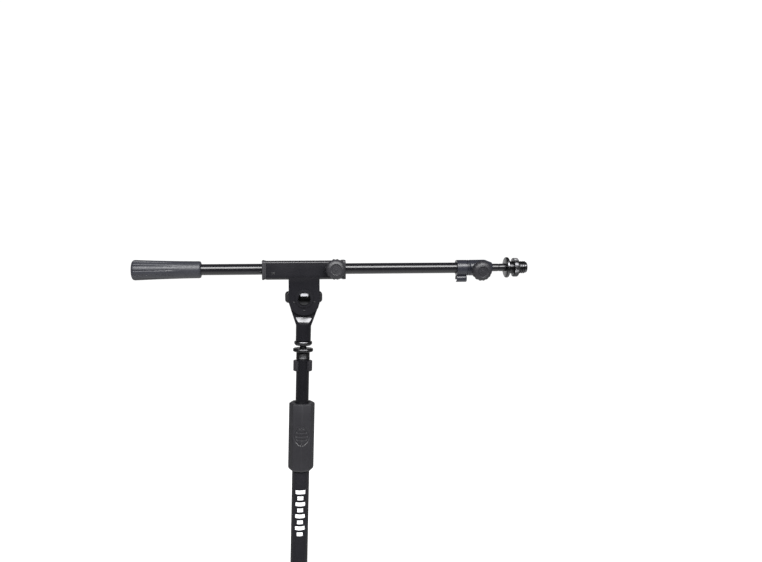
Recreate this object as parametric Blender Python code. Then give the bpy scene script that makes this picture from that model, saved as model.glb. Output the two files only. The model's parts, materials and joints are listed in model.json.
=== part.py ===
"""Boom microphone stand: folding tripod, telescopic pole, tilting head and telescopic boom.

Metres, +Z up. The origin is on the floor, on the axis of the pole, and the boom runs along +X.
Heights on the head are counted down from the boom's axis, and places on the boom from the pivot.
"""

from math import acos, atan2, cos, hypot, pi, radians, sin

import bmesh
import bpy

GAP = 0.0003
SMALL_STEPS = 16

# Heights above the floor
BOOM_AXIS_HEIGHT = 1.030
PIVOT_DROP = 0.036
PIVOT_HEIGHT = BOOM_AXIS_HEIGHT - PIVOT_DROP
BOOM_RAISE = radians(1.6)

# Boom, as distances from the pivot along the boom
TUBE_RADIUS = 0.0067
TUBE_BORE = 0.0052
TUBE_START, TUBE_END = -0.150, 0.214
WEIGHT_START, WEIGHT_END = -0.2033, -0.1229
WEIGHT_RADIUS, WEIGHT_NECK_RADIUS = 0.0122, 0.0103
CORE_RADIUS = 0.0090
STOP_PIN_AT = -0.0527
STOP_PIN_TURN = radians(33)
SADDLE_START, SADDLE_END = -0.0456, 0.0438
BUSH_BORE = TUBE_RADIUS + 0.00025
BUSH_SLEEVE_RADIUS = 0.0084
BOOM_KNOB_AT = 0.0378
CLIP_START, CLIP_END = 0.1920, 0.2050
CLIP_RADIUS, HOOK_RADIUS, HOOK_BORE, HOOK_DROP = 0.0099, 0.0047, 0.0033, 0.0134
CLIP_SLIT_HALF = 0.10
HOOK_MOUTH_AT, HOOK_MOUTH_HALF = radians(-50), radians(28)
CLUTCH_START, CLUTCH_END = 0.2054, 0.2380
CLUTCH_RADIUS = 0.0099
CLUTCH_TURN = radians(10)
ROD_KNOB_AT = 0.2205
CLUTCH_BOSS_RADIUS, CLUTCH_BOSS_START, CLUTCH_BOSS_FACE = 0.0072, 0.0070, 0.0130
ROD_RADIUS, ROD_BORE = 0.0049, 0.0035
ROD_START, ROD_END = -0.120, 0.2560
FLANGE_RADIUS = 0.0131
MIC_THREAD_RADIUS = 0.0079
MIC_THREAD_END = 0.2840
ROD_NUT_START, ROD_NUT_END = 0.2660, 0.2725

# Saddle: a folded sheet round the tube, with two ears down to the pivot
SHEET = 0.0016
SADDLE_HALF_WIDTH = 0.0110
SADDLE_TOP, SADDLE_BOTTOM = 0.0101, -0.0126
SADDLE_TOP_BEND, SADDLE_BOTTOM_BEND = 0.0025, 0.0040
SADDLE_SLOT = 0.0055
EAR_INSIDE = 0.0076
EAR_HALF_WIDTH = 0.0188
EAR_CORNER_DROP = 0.0050
EAR_RADIUS = 0.0205
EAR_ARC = 0.95
SCREW_BOSS_RADIUS, SCREW_BOSS_FACE = 0.0062, 0.0140
CAP_TOP, CAP_BOTTOM, CAP_HALF_WIDTH, CAP_BEND = 0.0109, -0.0127, 0.0118, 0.0028
LEFT_CAP_THICKNESS, RIGHT_CAP_THICKNESS = 0.0050, 0.0070
CAP_SLEEVE_END = 0.0300

# Head, as heights from the pivot
BOLT_RADIUS = 0.0040
TONGUE_HALF = 0.0054
DISC_RADIUS = 0.0140
YOKE_HEAD_RADIUS = 0.0160
BARREL_RADIUS = 0.00935
BARREL_BOTTOM = -0.0528
FACET_BOTTOM, FACET_TOP = -0.0332, -0.0237
HANDLE_HALF_LENGTH, HANDLE_HALF_HEIGHT = 0.0232, 0.00725
HANDLE_FRONT, HANDLE_BACK, HANDLE_CORNER = -0.0128, -0.0250, 0.0045
HANDLE_BOSS_RADIUS = 0.0082
NUT_CORNER_RADIUS, NUT_BACK = 0.0063, -0.0167
BOLT_START, BOLT_HEAD_RADIUS, BOLT_HEAD_RIM, BOLT_DOME_RADIUS = -0.0218, 0.0074, 0.0013, 0.0153
WASHER_RADIUS, WASHER_THICKNESS = 0.0110, 0.0014
YOKE_BORE, YOKE_BORE_DEPTH = 0.0050, 0.0165
TONGUE_SHOULDER = -0.0140

# Pole, as heights from the boom's axis
LOCK_NUT_TOP, LOCK_NUT_BOTTOM = -0.0893, -0.0944
TOP_FLANGE_TOP, TOP_FLANGE_BOTTOM = -0.0982, -0.1019
TOP_COLLAR_BOTTOM = -0.1115
POLE_CLIP_TOP, POLE_CLIP_BOTTOM = -0.1137, -0.1259
POLE_CLIP_RADIUS, POLE_HOOK_RADIUS, POLE_HOOK_BORE, POLE_HOOK_DROP = 0.0117, 0.0050, 0.0032, 0.0152
POLE_CLIP_OPENING_HALF = radians(38)
GRIP_TOP, GRIP_BOTTOM = -0.1660, -0.2503
UPPER_RADIUS, UPPER_BORE = 0.0081, 0.0066
LOWER_RADIUS, LOWER_BORE = 0.01075, 0.00925
GRIP_RADIUS = 0.0160
GRIP_SIDES = 8
GRIP_FLAT_DEPTH = 0.0009
UPPER_TUBE_BOTTOM = 0.237
LOWER_TUBE_TOP, LOWER_TUBE_BOTTOM = 0.830, 0.034

# Tripod
HUB_RADIUS = 0.0170
HUB_BOTTOM, HUB_TOP = 0.092, 0.137
LEG_PIVOT_REACH, LEG_PIVOT_HEIGHT = 0.030, 0.113
FOOT_RADIUS = 0.0115
FOOT_HEIGHT = 0.0105
FOOT_REACH = 0.2830 - FOOT_RADIUS
LEG_RADIUS, LEG_BORE = 0.0080, 0.0065
LEG_DIRECTIONS = [pi, pi / 3, -pi / 3]
EAR_GAP_HALF, EAR_OUTER_HALF = 0.0065, 0.0110
HUB_EAR_RADIUS = 0.0095
HUB_BOSS_RADIUS, HUB_BOSS_LENGTH = 0.0080, 0.0045
RIVET_RADIUS, RIVET_HEAD_RADIUS = 0.0030, 0.0052
KNUCKLE_RADIUS, KNUCKLE_LENGTH = 0.0082, 0.0190
FOOT_LENGTH, FOOT_SOCKET_FLOOR = 0.0300, 0.0057
LEG_SLOPE = atan2(LEG_PIVOT_HEIGHT - FOOT_HEIGHT, FOOT_REACH - LEG_PIVOT_REACH)
LEG_LENGTH = hypot(LEG_PIVOT_HEIGHT - FOOT_HEIGHT, FOOT_REACH - LEG_PIVOT_REACH)

# Knobs
KNOB_RADIUS = 0.0127
KNOB_LOBES = 16
KNOB_LOBE_DEPTH = 0.0009
KNOB_STEM_RADIUS = 0.0068
KNOB_STEM, KNOB_THICKNESS = 0.0022, 0.0095
SCREW_RADIUS = 0.0030

ALONG_X = (0, pi / 2, 0)
TOWARDS_FRONT = (pi / 2, 0, 0)
FINISHES = {
    "gloss_black": ((0.018, 0.018, 0.020), 0.22, 0.0),
    "satin_black": ((0.020, 0.020, 0.022), 0.42, 0.0),
    "black_nickel": ((0.22, 0.22, 0.23), 0.25, 1.0),
    "zinc": ((0.55, 0.55, 0.57), 0.35, 1.0),
    "graphite_rubber": ((0.075, 0.077, 0.090), 0.62, 0.0),
    "graphite_plastic": ((0.042, 0.041, 0.046), 0.50, 0.0),
    "nylon": ((0.055, 0.055, 0.058), 0.45, 0.0),
    "foot_rubber": ((0.020, 0.020, 0.020), 0.80, 0.0),
}


def clear_scene():
    for obj in list(bpy.data.objects):
        bpy.data.objects.remove(obj, do_unlink=True)


def finish(name):
    """The Principled material of that name, made the first time it is asked for."""
    if name in bpy.data.materials:
        return bpy.data.materials[name]
    colour, roughness, metallic = FINISHES[name]
    material = bpy.data.materials.new(name)
    material.use_nodes = True
    shader = material.node_tree.nodes["Principled BSDF"]
    shader.inputs["Base Color"].default_value = (*colour, 1)
    shader.inputs["Roughness"].default_value = roughness
    shader.inputs["Metallic"].default_value = metallic
    return material


def empty(name, location, rotation=(0, 0, 0), parent=None):
    """A joint's place: pieces parented to it are counted from the joint's axis."""
    obj = bpy.data.objects.new(name, None)
    bpy.context.scene.collection.objects.link(obj)
    obj.location, obj.rotation_euler, obj.parent = location, rotation, parent
    return obj


def solid(name, bm, material, location=(0, 0, 0), rotation=(0, 0, 0), parent=None):
    """Closes a bmesh into a named object whose faces point outwards."""
    bmesh.ops.remove_doubles(bm, verts=bm.verts, dist=1e-7)
    bmesh.ops.recalc_face_normals(bm, faces=bm.faces)
    if bm.calc_volume(signed=True) < 0:
        bmesh.ops.reverse_faces(bm, faces=bm.faces)
    mesh = bpy.data.meshes.new(name)
    bm.to_mesh(mesh)
    bm.free()
    mesh.shade_smooth()
    mesh.set_sharp_from_angle(angle=radians(35))
    obj = bpy.data.objects.new(name, mesh)
    bpy.context.scene.collection.objects.link(obj)
    obj.location, obj.rotation_euler, obj.parent = location, rotation, parent
    if material:
        mesh.materials.append(finish(material))
    else:
        obj.hide_render = True
        obj.display_type = "WIRE"
    return obj


def turned(name, profile, material, steps=24, **place):
    """Spins (radius, height) points about Z. A profile that starts and ends on the axis is solid."""
    bm = bmesh.new()
    verts = [bm.verts.new((radius, 0, height)) for radius, height in profile]
    pairs = list(zip(verts, verts[1:]))
    if profile[0][0] or profile[-1][0]:
        pairs.append((verts[-1], verts[0]))
    edges = [bm.edges.new(pair) for pair in pairs]
    bmesh.ops.spin(bm, geom=verts + edges, cent=(0, 0, 0), axis=(0, 0, 1), angle=2 * pi,
                   steps=steps, use_merge=True)
    return solid(name, bm, material, **place)


def tube(name, radius, bore, low, high, material, steps=24, **place):
    profile = [(bore, low), (radius, low), (radius, high), (bore, high)]
    return turned(name, profile, material, steps, **place)


def rod(name, radius, low, high, material, steps=24, **place):
    profile = [(0, low), (radius, low), (radius, high), (0, high)]
    return turned(name, profile, material, steps, **place)


def slab(name, outline, low, high, material, **place):
    """Extrudes an outline in the XY plane from one height to another."""
    bm = bmesh.new()
    base = bm.faces.new([bm.verts.new((x, y, low)) for x, y in outline])
    top = bmesh.ops.extrude_face_region(bm, geom=[base])["geom"]
    raised = [item for item in top if isinstance(item, bmesh.types.BMVert)]
    bmesh.ops.translate(bm, verts=raised, vec=(0, 0, high - low))
    return solid(name, bm, material, **place)


def block(name, low, high, material, **place):
    outline = [(low[0], low[1]), (high[0], low[1]), (high[0], high[1]), (low[0], high[1])]
    return slab(name, outline, low[2], high[2], material, **place)


def arc(centre, radius, start, end, steps):
    """Points on an arc in the plane, with both ends."""
    angles = [start + (end - start) * step / steps for step in range(steps + 1)]
    return [(centre[0] + radius * cos(angle), centre[1] + radius * sin(angle)) for angle in angles]


def lofted(name, rings, material, **place):
    """Skins a stack of rings of points and caps both ends."""
    bm = bmesh.new()
    loops = [[bm.verts.new(point) for point in ring] for ring in rings]
    for ring, following in zip(loops, loops[1:]):
        for index, vert in enumerate(ring):
            after = (index + 1) % len(ring)
            bm.faces.new((vert, ring[after], following[after], following[index]))
    bm.faces.new(reversed(loops[0]))
    bm.faces.new(loops[-1])
    return solid(name, bm, material, **place)


def combine(obj, operation, *others):
    for other in others:
        modifier = obj.modifiers.new(other.name, "BOOLEAN")
        modifier.operation = operation
        modifier.object = other
    return obj


def cut(obj, *cutters):
    return combine(obj, "DIFFERENCE", *cutters)


def join(obj, *others):
    return combine(obj, "UNION", *others)


# Boom pieces: all are children of the boom's frame, whose Z = 0 is the pivot

def on_boom(frame, along=0.0, rotation=ALONG_X):
    """Placement of a piece that is centred on the boom's axis."""
    return {"location": (along, 0, PIVOT_DROP), "rotation": rotation, "parent": frame}


def make_boom_tube(frame):
    obj = tube("boom_tube", TUBE_RADIUS, TUBE_BORE, TUBE_START, TUBE_END, "gloss_black",
               **on_boom(frame))
    pin_place = on_boom(frame, STOP_PIN_AT, (pi / 2 + STOP_PIN_TURN, 0, 0))
    cut(obj, rod("cut_stop_pin", 0.0014, 0.004, 0.009, None, 16, **pin_place))
    dome = [(0, 0.0053), (0.0011, 0.0053), (0.0011, 0.0072), (0.0006, 0.0076), (0, 0.0077)]
    turned("stop_pin", dome, "black_nickel", 16, **pin_place)


def make_counterweight(frame):
    bore_step = TUBE_START + GAP
    core_end = WEIGHT_START + 0.003
    steps = 5
    flare = []
    for step in range(steps + 1):
        share = step / steps
        radius = WEIGHT_NECK_RADIUS + (WEIGHT_RADIUS - WEIGHT_NECK_RADIUS) * (1 - share) ** 1.6
        flare.append((radius, WEIGHT_START + 0.0030 + (WEIGHT_END - WEIGHT_START - 0.0048) * share))
    rim = [(WEIGHT_RADIUS - 0.0030, WEIGHT_START), (WEIGHT_RADIUS - 0.0010, WEIGHT_START + 0.0009)]
    shoulder = [(WEIGHT_NECK_RADIUS - 0.0016, WEIGHT_END)]
    hollow = [(BUSH_BORE, WEIGHT_END), (BUSH_BORE, bore_step),
              (CORE_RADIUS + GAP, bore_step), (CORE_RADIUS + GAP, core_end - GAP), (0, core_end - GAP)]
    turned("counterweight_sleeve", [(0, WEIGHT_START)] + rim + flare + shoulder + hollow,
           "graphite_rubber", **on_boom(frame))
    spigot = TUBE_BORE - 0.0002
    core = [(0, core_end), (CORE_RADIUS, core_end), (CORE_RADIUS, TUBE_START - GAP),
            (spigot, TUBE_START - GAP), (spigot, TUBE_START + 0.020), (0, TUBE_START + 0.020)]
    turned("counterweight_core", core, "zinc", **on_boom(frame))


def saddle_section(top, bottom, half, top_bend, bottom_bend):
    """Right half of the folded sheet's outline: (across, height) from the slot's lip to the top."""
    lower = arc((half - bottom_bend, bottom + bottom_bend), bottom_bend, -pi / 2, 0, 4)
    upper = arc((half - top_bend, top - top_bend), top_bend, 0, pi / 2, 4)
    return [(SADDLE_SLOT, bottom)] + lower + upper


def make_saddle(frame):
    outer = saddle_section(SADDLE_TOP, SADDLE_BOTTOM, SADDLE_HALF_WIDTH, SADDLE_TOP_BEND,
                           SADDLE_BOTTOM_BEND)
    inner = saddle_section(SADDLE_TOP - SHEET, SADDLE_BOTTOM + SHEET, SADDLE_HALF_WIDTH - SHEET,
                           SADDLE_TOP_BEND - SHEET, SADDLE_BOTTOM_BEND - SHEET)
    whole = outer + [(-across, height) for across, height in reversed(outer)]
    hollow = inner + [(-across, height) for across, height in reversed(inner)]
    section = whole + hollow[::-1]
    # Local (x, y, z) is (height, across, along) once it lies along the boom.
    outline = [(-height, across) for across, height in section]
    obj = slab("saddle_bracket", outline, SADDLE_START, SADDLE_END, "satin_black", **on_boom(frame))
    bottom = arc((0, 0), EAR_RADIUS, -pi / 2 - EAR_ARC, -pi / 2 + EAR_ARC, 8)
    ear = [(-EAR_HALF_WIDTH, -EAR_CORNER_DROP)] + bottom
    ear += [(EAR_HALF_WIDTH, -EAR_CORNER_DROP), (EAR_HALF_WIDTH, PIVOT_DROP + SADDLE_BOTTOM + SHEET / 2),
            (-EAR_HALF_WIDTH, PIVOT_DROP + SADDLE_BOTTOM + SHEET / 2)]
    for side, low in (("front", EAR_INSIDE), ("rear", -EAR_INSIDE - SHEET)):
        join(obj, slab(f"add_{side}_ear", ear, low, low + SHEET, None,
                       rotation=TOWARDS_FRONT, parent=frame))
    knob_place = on_boom(frame, BOOM_KNOB_AT, TOWARDS_FRONT)
    join(obj, rod("add_screw_boss", SCREW_BOSS_RADIUS, SADDLE_HALF_WIDTH - SHEET / 2, SCREW_BOSS_FACE,
                  None, 24, **knob_place))
    cut(obj, rod("cut_boom_screw", SCREW_RADIUS + GAP, 0.005, 0.020, None, SMALL_STEPS, **knob_place),
        rod("cut_tilt_bolt", BOLT_RADIUS + GAP, -0.015, 0.015, None, SMALL_STEPS,
            rotation=TOWARDS_FRONT, parent=frame))


def bush_outline():
    """The end cap's rounded rectangle, as (local x, local y) with local x pointing down."""
    top, bottom, half, bend = CAP_TOP, CAP_BOTTOM, CAP_HALF_WIDTH, CAP_BEND
    corners = [((half - bend, bottom + bend), -pi / 2), ((half - bend, top - bend), 0),
               ((bend - half, top - bend), pi / 2), ((bend - half, bottom + bend), pi)]
    points = []
    for centre, start in corners:
        points += arc(centre, bend, start, start + pi / 2, 4)
    return [(-height, across) for across, height in points]


def make_end_bush(frame, side, face, inside, sleeve_end):
    """A plastic cap over the saddle's end, with a sleeve that guides the boom tube."""
    low, high = sorted((face, inside))
    obj = slab(f"end_bush_{side}", bush_outline(), low, high, "graphite_plastic", **on_boom(frame))
    overlap = (face - inside) * 0.3
    sleeve = sorted((inside + overlap, sleeve_end))
    join(obj, rod(f"add_{side}_sleeve", BUSH_SLEEVE_RADIUS, sleeve[0], sleeve[1], None,
                  **on_boom(frame)))
    cut(obj, rod(f"cut_{side}_bore", BUSH_BORE, -0.070, 0.070, None, **on_boom(frame)))
    if side == "right":
        cut(obj, rod("cut_shoe", 0.0043, 0.002, 0.015, None, SMALL_STEPS,
                     **on_boom(frame, BOOM_KNOB_AT, TOWARDS_FRONT)))


def knob_ring(radius, height, lobed):
    points = []
    steps = KNOB_LOBES * 3
    for step in range(steps):
        angle = 2 * pi * step / steps
        wave = KNOB_LOBE_DEPTH * (1 - cos(KNOB_LOBES * angle)) / 2 if lobed else 0
        points.append(((radius - wave) * cos(angle), (radius - wave) * sin(angle), height))
    return points


def make_knob(name, seat, **place):
    """A scalloped knob with a blind hole for its screw, standing on its seat."""
    top = seat + KNOB_STEM + KNOB_THICKNESS
    head = seat + KNOB_STEM
    rings = [knob_ring(KNOB_STEM_RADIUS, seat, False), knob_ring(KNOB_STEM_RADIUS, head, False),
             knob_ring(KNOB_RADIUS, head, True), knob_ring(KNOB_RADIUS, top - 0.0012, True),
             knob_ring(KNOB_RADIUS - 0.0012, top, True)]
    obj = lofted(name, rings, "graphite_plastic", **place)
    cut(obj, rod("cut_" + name, SCREW_RADIUS + GAP, seat - 0.002, top - 0.0035, None, SMALL_STEPS,
                 **place))
    return top - 0.0035 - GAP


def make_boom_knob(frame):
    place = on_boom(frame, BOOM_KNOB_AT, TOWARDS_FRONT)
    screw_end = make_knob("boom_knob", SCREW_BOSS_FACE + GAP, **place)
    rod("boom_screw", SCREW_RADIUS, 0.0095, screw_end, "zinc", SMALL_STEPS, **place)
    rod("boom_shoe", 0.0040, TUBE_RADIUS + 0.0002, 0.0092, "nylon", SMALL_STEPS, **place)


def make_tilt_hardware(frame):
    ear_face = EAR_INSIDE + SHEET
    washer = ear_face + WASHER_THICKNESS
    place = {"rotation": TOWARDS_FRONT, "parent": frame}
    tube("tilt_washer", WASHER_RADIUS, BOLT_RADIUS + 2 * GAP, ear_face + GAP, washer, "black_nickel", **place)
    rim = acos(BOLT_HEAD_RADIUS / BOLT_DOME_RADIUS)
    sink = BOLT_DOME_RADIUS * sin(rim) - BOLT_HEAD_RIM
    head = [(BOLT_HEAD_RADIUS, washer + GAP)]
    head += arc((0, washer + GAP - sink), BOLT_DOME_RADIUS, rim, pi / 2, 5)
    bolt = [(0, BOLT_START), (BOLT_RADIUS, BOLT_START), (BOLT_RADIUS, washer + GAP)] + head
    bolt[-1] = (0, bolt[-1][1])
    turned("tilt_bolt", bolt, "black_nickel", **place)
    for side, sign in (("front", 1), ("rear", -1)):
        low, high = sorted((sign * (TONGUE_HALF + GAP), sign * (EAR_INSIDE - GAP)))
        tube(f"friction_disc_{side}", DISC_RADIUS, BOLT_RADIUS + GAP, low, high, "nylon",
             location=(0, 0, PIVOT_HEIGHT), rotation=TOWARDS_FRONT)


def make_tilt_handle(frame):
    """The T-shaped clamping handle behind the saddle, with the nut moulded into it."""
    seat = -(EAR_INSIDE + SHEET + GAP)
    front, back = HANDLE_FRONT, HANDLE_BACK
    corner = HANDLE_CORNER
    end = HANDLE_HALF_LENGTH - corner - 0.0005
    outline = []
    centres = [(end, corner - HANDLE_HALF_HEIGHT, -pi / 2), (end, HANDLE_HALF_HEIGHT - corner, 0),
               (-end, HANDLE_HALF_HEIGHT - corner, pi / 2), (-end, corner - HANDLE_HALF_HEIGHT, pi)]
    for x, y, start in centres:
        outline += arc((x, y), corner, start, start + pi / 2, 4)
    place = {"rotation": TOWARDS_FRONT, "parent": frame}
    obj = slab("tilt_handle", outline, back, front, "graphite_plastic", **place)
    join(obj, rod("add_handle_boss", HANDLE_BOSS_RADIUS, front - 0.001, seat, None, **place))
    nut = [(NUT_CORNER_RADIUS * cos(pi * k / 3), NUT_CORNER_RADIUS * sin(pi * k / 3))
           for k in range(6)]
    pocket = [(x * 1.06, y * 1.06) for x, y in nut]
    cut(obj, slab("cut_nut_pocket", pocket, NUT_BACK - GAP, 0, None, **place),
        rod("cut_handle_bore", BOLT_RADIUS + GAP, BOLT_START - GAP, 0, None, SMALL_STEPS, **place))
    shell = slab("handle_nut", nut, NUT_BACK, seat - GAP, "zinc", **place)
    cut(shell, rod("cut_nut_bore", BOLT_RADIUS + GAP / 2, -0.030, 0, None, SMALL_STEPS, **place))


def clip_outline(ring, bore, hook, hook_bore, drop, slit_at, slit_half):
    """A snap ring with a hook below it, whose mouth points down and back: (across, height)."""
    on_ring = acos((ring ** 2 + drop ** 2 - hook ** 2) / (2 * ring * drop))
    on_hook = acos((hook ** 2 + drop ** 2 - ring ** 2) / (2 * hook * drop))
    below = (0, -drop)
    points = arc((0, 0), ring, slit_at - slit_half, on_ring - pi / 2, 8)
    mouth_top, mouth_bottom = HOOK_MOUTH_AT + HOOK_MOUTH_HALF, HOOK_MOUTH_AT - HOOK_MOUTH_HALF
    points += arc(below, hook, pi / 2 - on_hook, mouth_top, 6)[1:]
    points += arc(below, hook_bore, mouth_top, 2 * pi + mouth_bottom, 14)
    points += arc(below, hook, mouth_bottom, on_hook - 3 * pi / 2, 7)
    points += arc((0, 0), ring, -pi / 2 - on_ring, slit_at + slit_half - 2 * pi, 16)[1:]
    return points + arc((0, 0), bore, slit_at + slit_half - 2 * pi, slit_at - slit_half, 24)


def make_boom_clip(frame):
    """A cable clip round the boom tube: its slit is behind and its hook hangs below."""
    outline = clip_outline(CLIP_RADIUS, BUSH_BORE, HOOK_RADIUS, HOOK_BORE, HOOK_DROP, 0,
                           CLIP_SLIT_HALF)
    local = [(-height, across) for across, height in outline]
    slab("boom_clip", local, CLIP_START, CLIP_END, "graphite_plastic", **on_boom(frame))


def make_rod_clutch(frame):
    """The clamp at the boom tube's end, turned a little below level, with its knob, screw and shoe."""
    place = on_boom(frame)
    profile = [(BUSH_BORE, CLUTCH_START), (CLUTCH_RADIUS - 0.0006, CLUTCH_START),
               (CLUTCH_RADIUS, CLUTCH_START + 0.0010), (CLUTCH_RADIUS + 0.0002, CLUTCH_END - 0.0100),
               (CLUTCH_RADIUS - 0.0012, CLUTCH_END - 0.0055), (0.0066, CLUTCH_END),
               (ROD_RADIUS + GAP, CLUTCH_END), (ROD_RADIUS + GAP, TUBE_END + GAP),
               (BUSH_BORE, TUBE_END + GAP)]
    obj = turned("rod_clutch", profile, "graphite_plastic", **place)
    knob_place = on_boom(frame, ROD_KNOB_AT, (pi / 2 + CLUTCH_TURN, 0, 0))
    join(obj, rod("add_clutch_boss", CLUTCH_BOSS_RADIUS, CLUTCH_BOSS_START, CLUTCH_BOSS_FACE, None,
                  24, **knob_place))
    cut(obj, rod("cut_rod_screw", SCREW_RADIUS + GAP, 0.0030, 0.016, None, SMALL_STEPS, **knob_place))
    screw_end = make_knob("rod_knob", CLUTCH_BOSS_FACE + GAP, **knob_place)
    rod("rod_screw", SCREW_RADIUS, 0.0078, screw_end, "zinc", SMALL_STEPS, **knob_place)
    rod("rod_shoe", SCREW_RADIUS, ROD_RADIUS + 0.0003, 0.0075, "nylon", SMALL_STEPS, **knob_place)


def make_inner_rod(frame):
    place = on_boom(frame)
    tube("inner_rod", ROD_RADIUS, ROD_BORE, ROD_START, ROD_END, "gloss_black", **place)
    plug = [(0, ROD_START - 0.0090), (0.0049, ROD_START - 0.0090), (0.0049, ROD_START - GAP),
            (ROD_BORE - 0.0002, ROD_START - GAP), (ROD_BORE - 0.0002, ROD_START + 0.0100),
            (0, ROD_START + 0.0100)]
    turned("rod_bush", plug, "nylon", SMALL_STEPS, **place)
    spigot = ROD_BORE - 0.0002
    seat = ROD_END + GAP
    stud = [(0, ROD_END - 0.020), (spigot, ROD_END - 0.020), (spigot, seat),
            (FLANGE_RADIUS - 0.0006, seat), (FLANGE_RADIUS, seat + 0.0006), (FLANGE_RADIUS, seat + 0.0031),
            (FLANGE_RADIUS - 0.0006, seat + 0.0037), (MIC_THREAD_RADIUS, seat + 0.0037),
            (MIC_THREAD_RADIUS, MIC_THREAD_END - 0.0010), (MIC_THREAD_RADIUS - 0.0010, MIC_THREAD_END),
            (0, MIC_THREAD_END)]
    turned("rod_stud", stud, "black_nickel", **place)
    tube("rod_lock_nut", 0.0120, MIC_THREAD_RADIUS + GAP, ROD_NUT_START, ROD_NUT_END, "black_nickel",
         **place)


# Head and pole: these stand on the pole's axis

def on_pole(height=0.0):
    return {"location": (0, 0, height)}


def make_yoke():
    """The barrel that screws onto the pole, with the flat tongue that carries the pivot."""
    place = on_pole(PIVOT_HEIGHT)
    obj = rod("yoke", BARREL_RADIUS, BARREL_BOTTOM, FACET_TOP, "satin_black", **place)
    for side, turn in (("front", 0), ("rear", pi)):
        wedge = [(-TONGUE_HALF, FACET_TOP), (-BARREL_RADIUS, FACET_BOTTOM), (-0.020, FACET_BOTTOM),
                 (-0.020, FACET_TOP + 0.010), (-TONGUE_HALF, FACET_TOP + 0.010)]
        # The wedge's outline is (across, height), stood upright and swept along the boom.
        cutter = slab(f"cut_facet_{side}", wedge, -0.020, 0.020, None, location=(0, 0, PIVOT_HEIGHT),
                      rotation=(pi / 2, 0, pi / 2 + turn))
        cut(obj, cutter)
    foot = BARREL_RADIUS - 0.0001
    tongue = [(-YOKE_HEAD_RADIUS, TONGUE_SHOULDER), (-foot, FACET_BOTTOM), (foot, FACET_BOTTOM),
              (YOKE_HEAD_RADIUS, TONGUE_SHOULDER)] + arc((0, 0), YOKE_HEAD_RADIUS, 0, pi, 14)
    web = slab("add_tongue", tongue, -TONGUE_HALF, TONGUE_HALF, None, location=(0, 0, PIVOT_HEIGHT),
               rotation=TOWARDS_FRONT)
    join(obj, web)
    cut(obj, rod("cut_yoke_pivot", BOLT_RADIUS + GAP, -0.020, 0.020, None, SMALL_STEPS,
                 location=(0, 0, PIVOT_HEIGHT), rotation=TOWARDS_FRONT),
        rod("cut_yoke_thread", YOKE_BORE, BARREL_BOTTOM - 0.002, BARREL_BOTTOM + YOKE_BORE_DEPTH, None,
            SMALL_STEPS, **place))


def make_pole_top():
    place = on_pole(BOOM_AXIS_HEIGHT)
    nut = [(0.0050, LOCK_NUT_BOTTOM), (0.0094, LOCK_NUT_BOTTOM), (0.0111, LOCK_NUT_BOTTOM + 0.0020),
           (0.0111, LOCK_NUT_TOP - 0.0004), (0.0107, LOCK_NUT_TOP), (0.0050, LOCK_NUT_TOP)]
    turned("pole_lock_nut", nut, "black_nickel", **place)
    spigot = UPPER_BORE - 0.0002
    stud = [(0, -0.135), (spigot, -0.135), (spigot, TOP_COLLAR_BOTTOM - GAP), (0.0083, TOP_COLLAR_BOTTOM),
            (0.0083, TOP_FLANGE_BOTTOM), (0.0119, TOP_FLANGE_BOTTOM), (0.0125, TOP_FLANGE_BOTTOM + 0.0007),
            (0.0125, TOP_FLANGE_TOP - 0.0007), (0.0119, TOP_FLANGE_TOP), (0.0040, TOP_FLANGE_TOP),
            (0.0040, LOCK_NUT_BOTTOM - 0.0004), (0.0047, LOCK_NUT_BOTTOM), (0.0047, -0.0750),
            (0.0040, -0.0742), (0, -0.0742)]
    turned("top_stud", stud, "black_nickel", **place)


def make_upper_tube():
    top = BOOM_AXIS_HEIGHT + TOP_COLLAR_BOTTOM - 2 * GAP
    tube("upper_tube", UPPER_RADIUS, UPPER_BORE, UPPER_TUBE_BOTTOM, top, "gloss_black", **on_pole())
    spigot = UPPER_BORE - 0.0002
    plug = [(0, UPPER_TUBE_BOTTOM - 0.0120), (0.0090, UPPER_TUBE_BOTTOM - 0.0120),
            (0.0090, UPPER_TUBE_BOTTOM - GAP), (spigot, UPPER_TUBE_BOTTOM - GAP),
            (spigot, UPPER_TUBE_BOTTOM + 0.0200), (0, UPPER_TUBE_BOTTOM + 0.0200)]
    turned("pole_bush", plug, "nylon", **on_pole())


def make_pole_clip():
    """A cable clip that snaps on from behind: a ring open at the front, with a hook at the back."""
    outline = clip_outline(POLE_CLIP_RADIUS, UPPER_RADIUS + GAP, POLE_HOOK_RADIUS, POLE_HOOK_BORE,
                           POLE_HOOK_DROP, pi / 2, POLE_CLIP_OPENING_HALF)
    local = [(across, -height) for across, height in outline]
    slab("pole_clip", local, POLE_CLIP_BOTTOM, POLE_CLIP_TOP, "graphite_plastic",
         **on_pole(BOOM_AXIS_HEIGHT))


def grip_ring(height, inset=0.0, across=GRIP_RADIUS):
    """One ring of the grip's soft octagon, with an edge at the front."""
    points = []
    steps = GRIP_SIDES * 4
    for step in range(steps):
        angle = 2 * pi * step / steps - pi / 2
        dip = GRIP_FLAT_DEPTH * (1 - cos(GRIP_SIDES * 2 * pi * step / steps)) / 2
        radius = across - inset - dip
        points.append((radius * cos(angle), radius * sin(angle), height))
    return points


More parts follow.
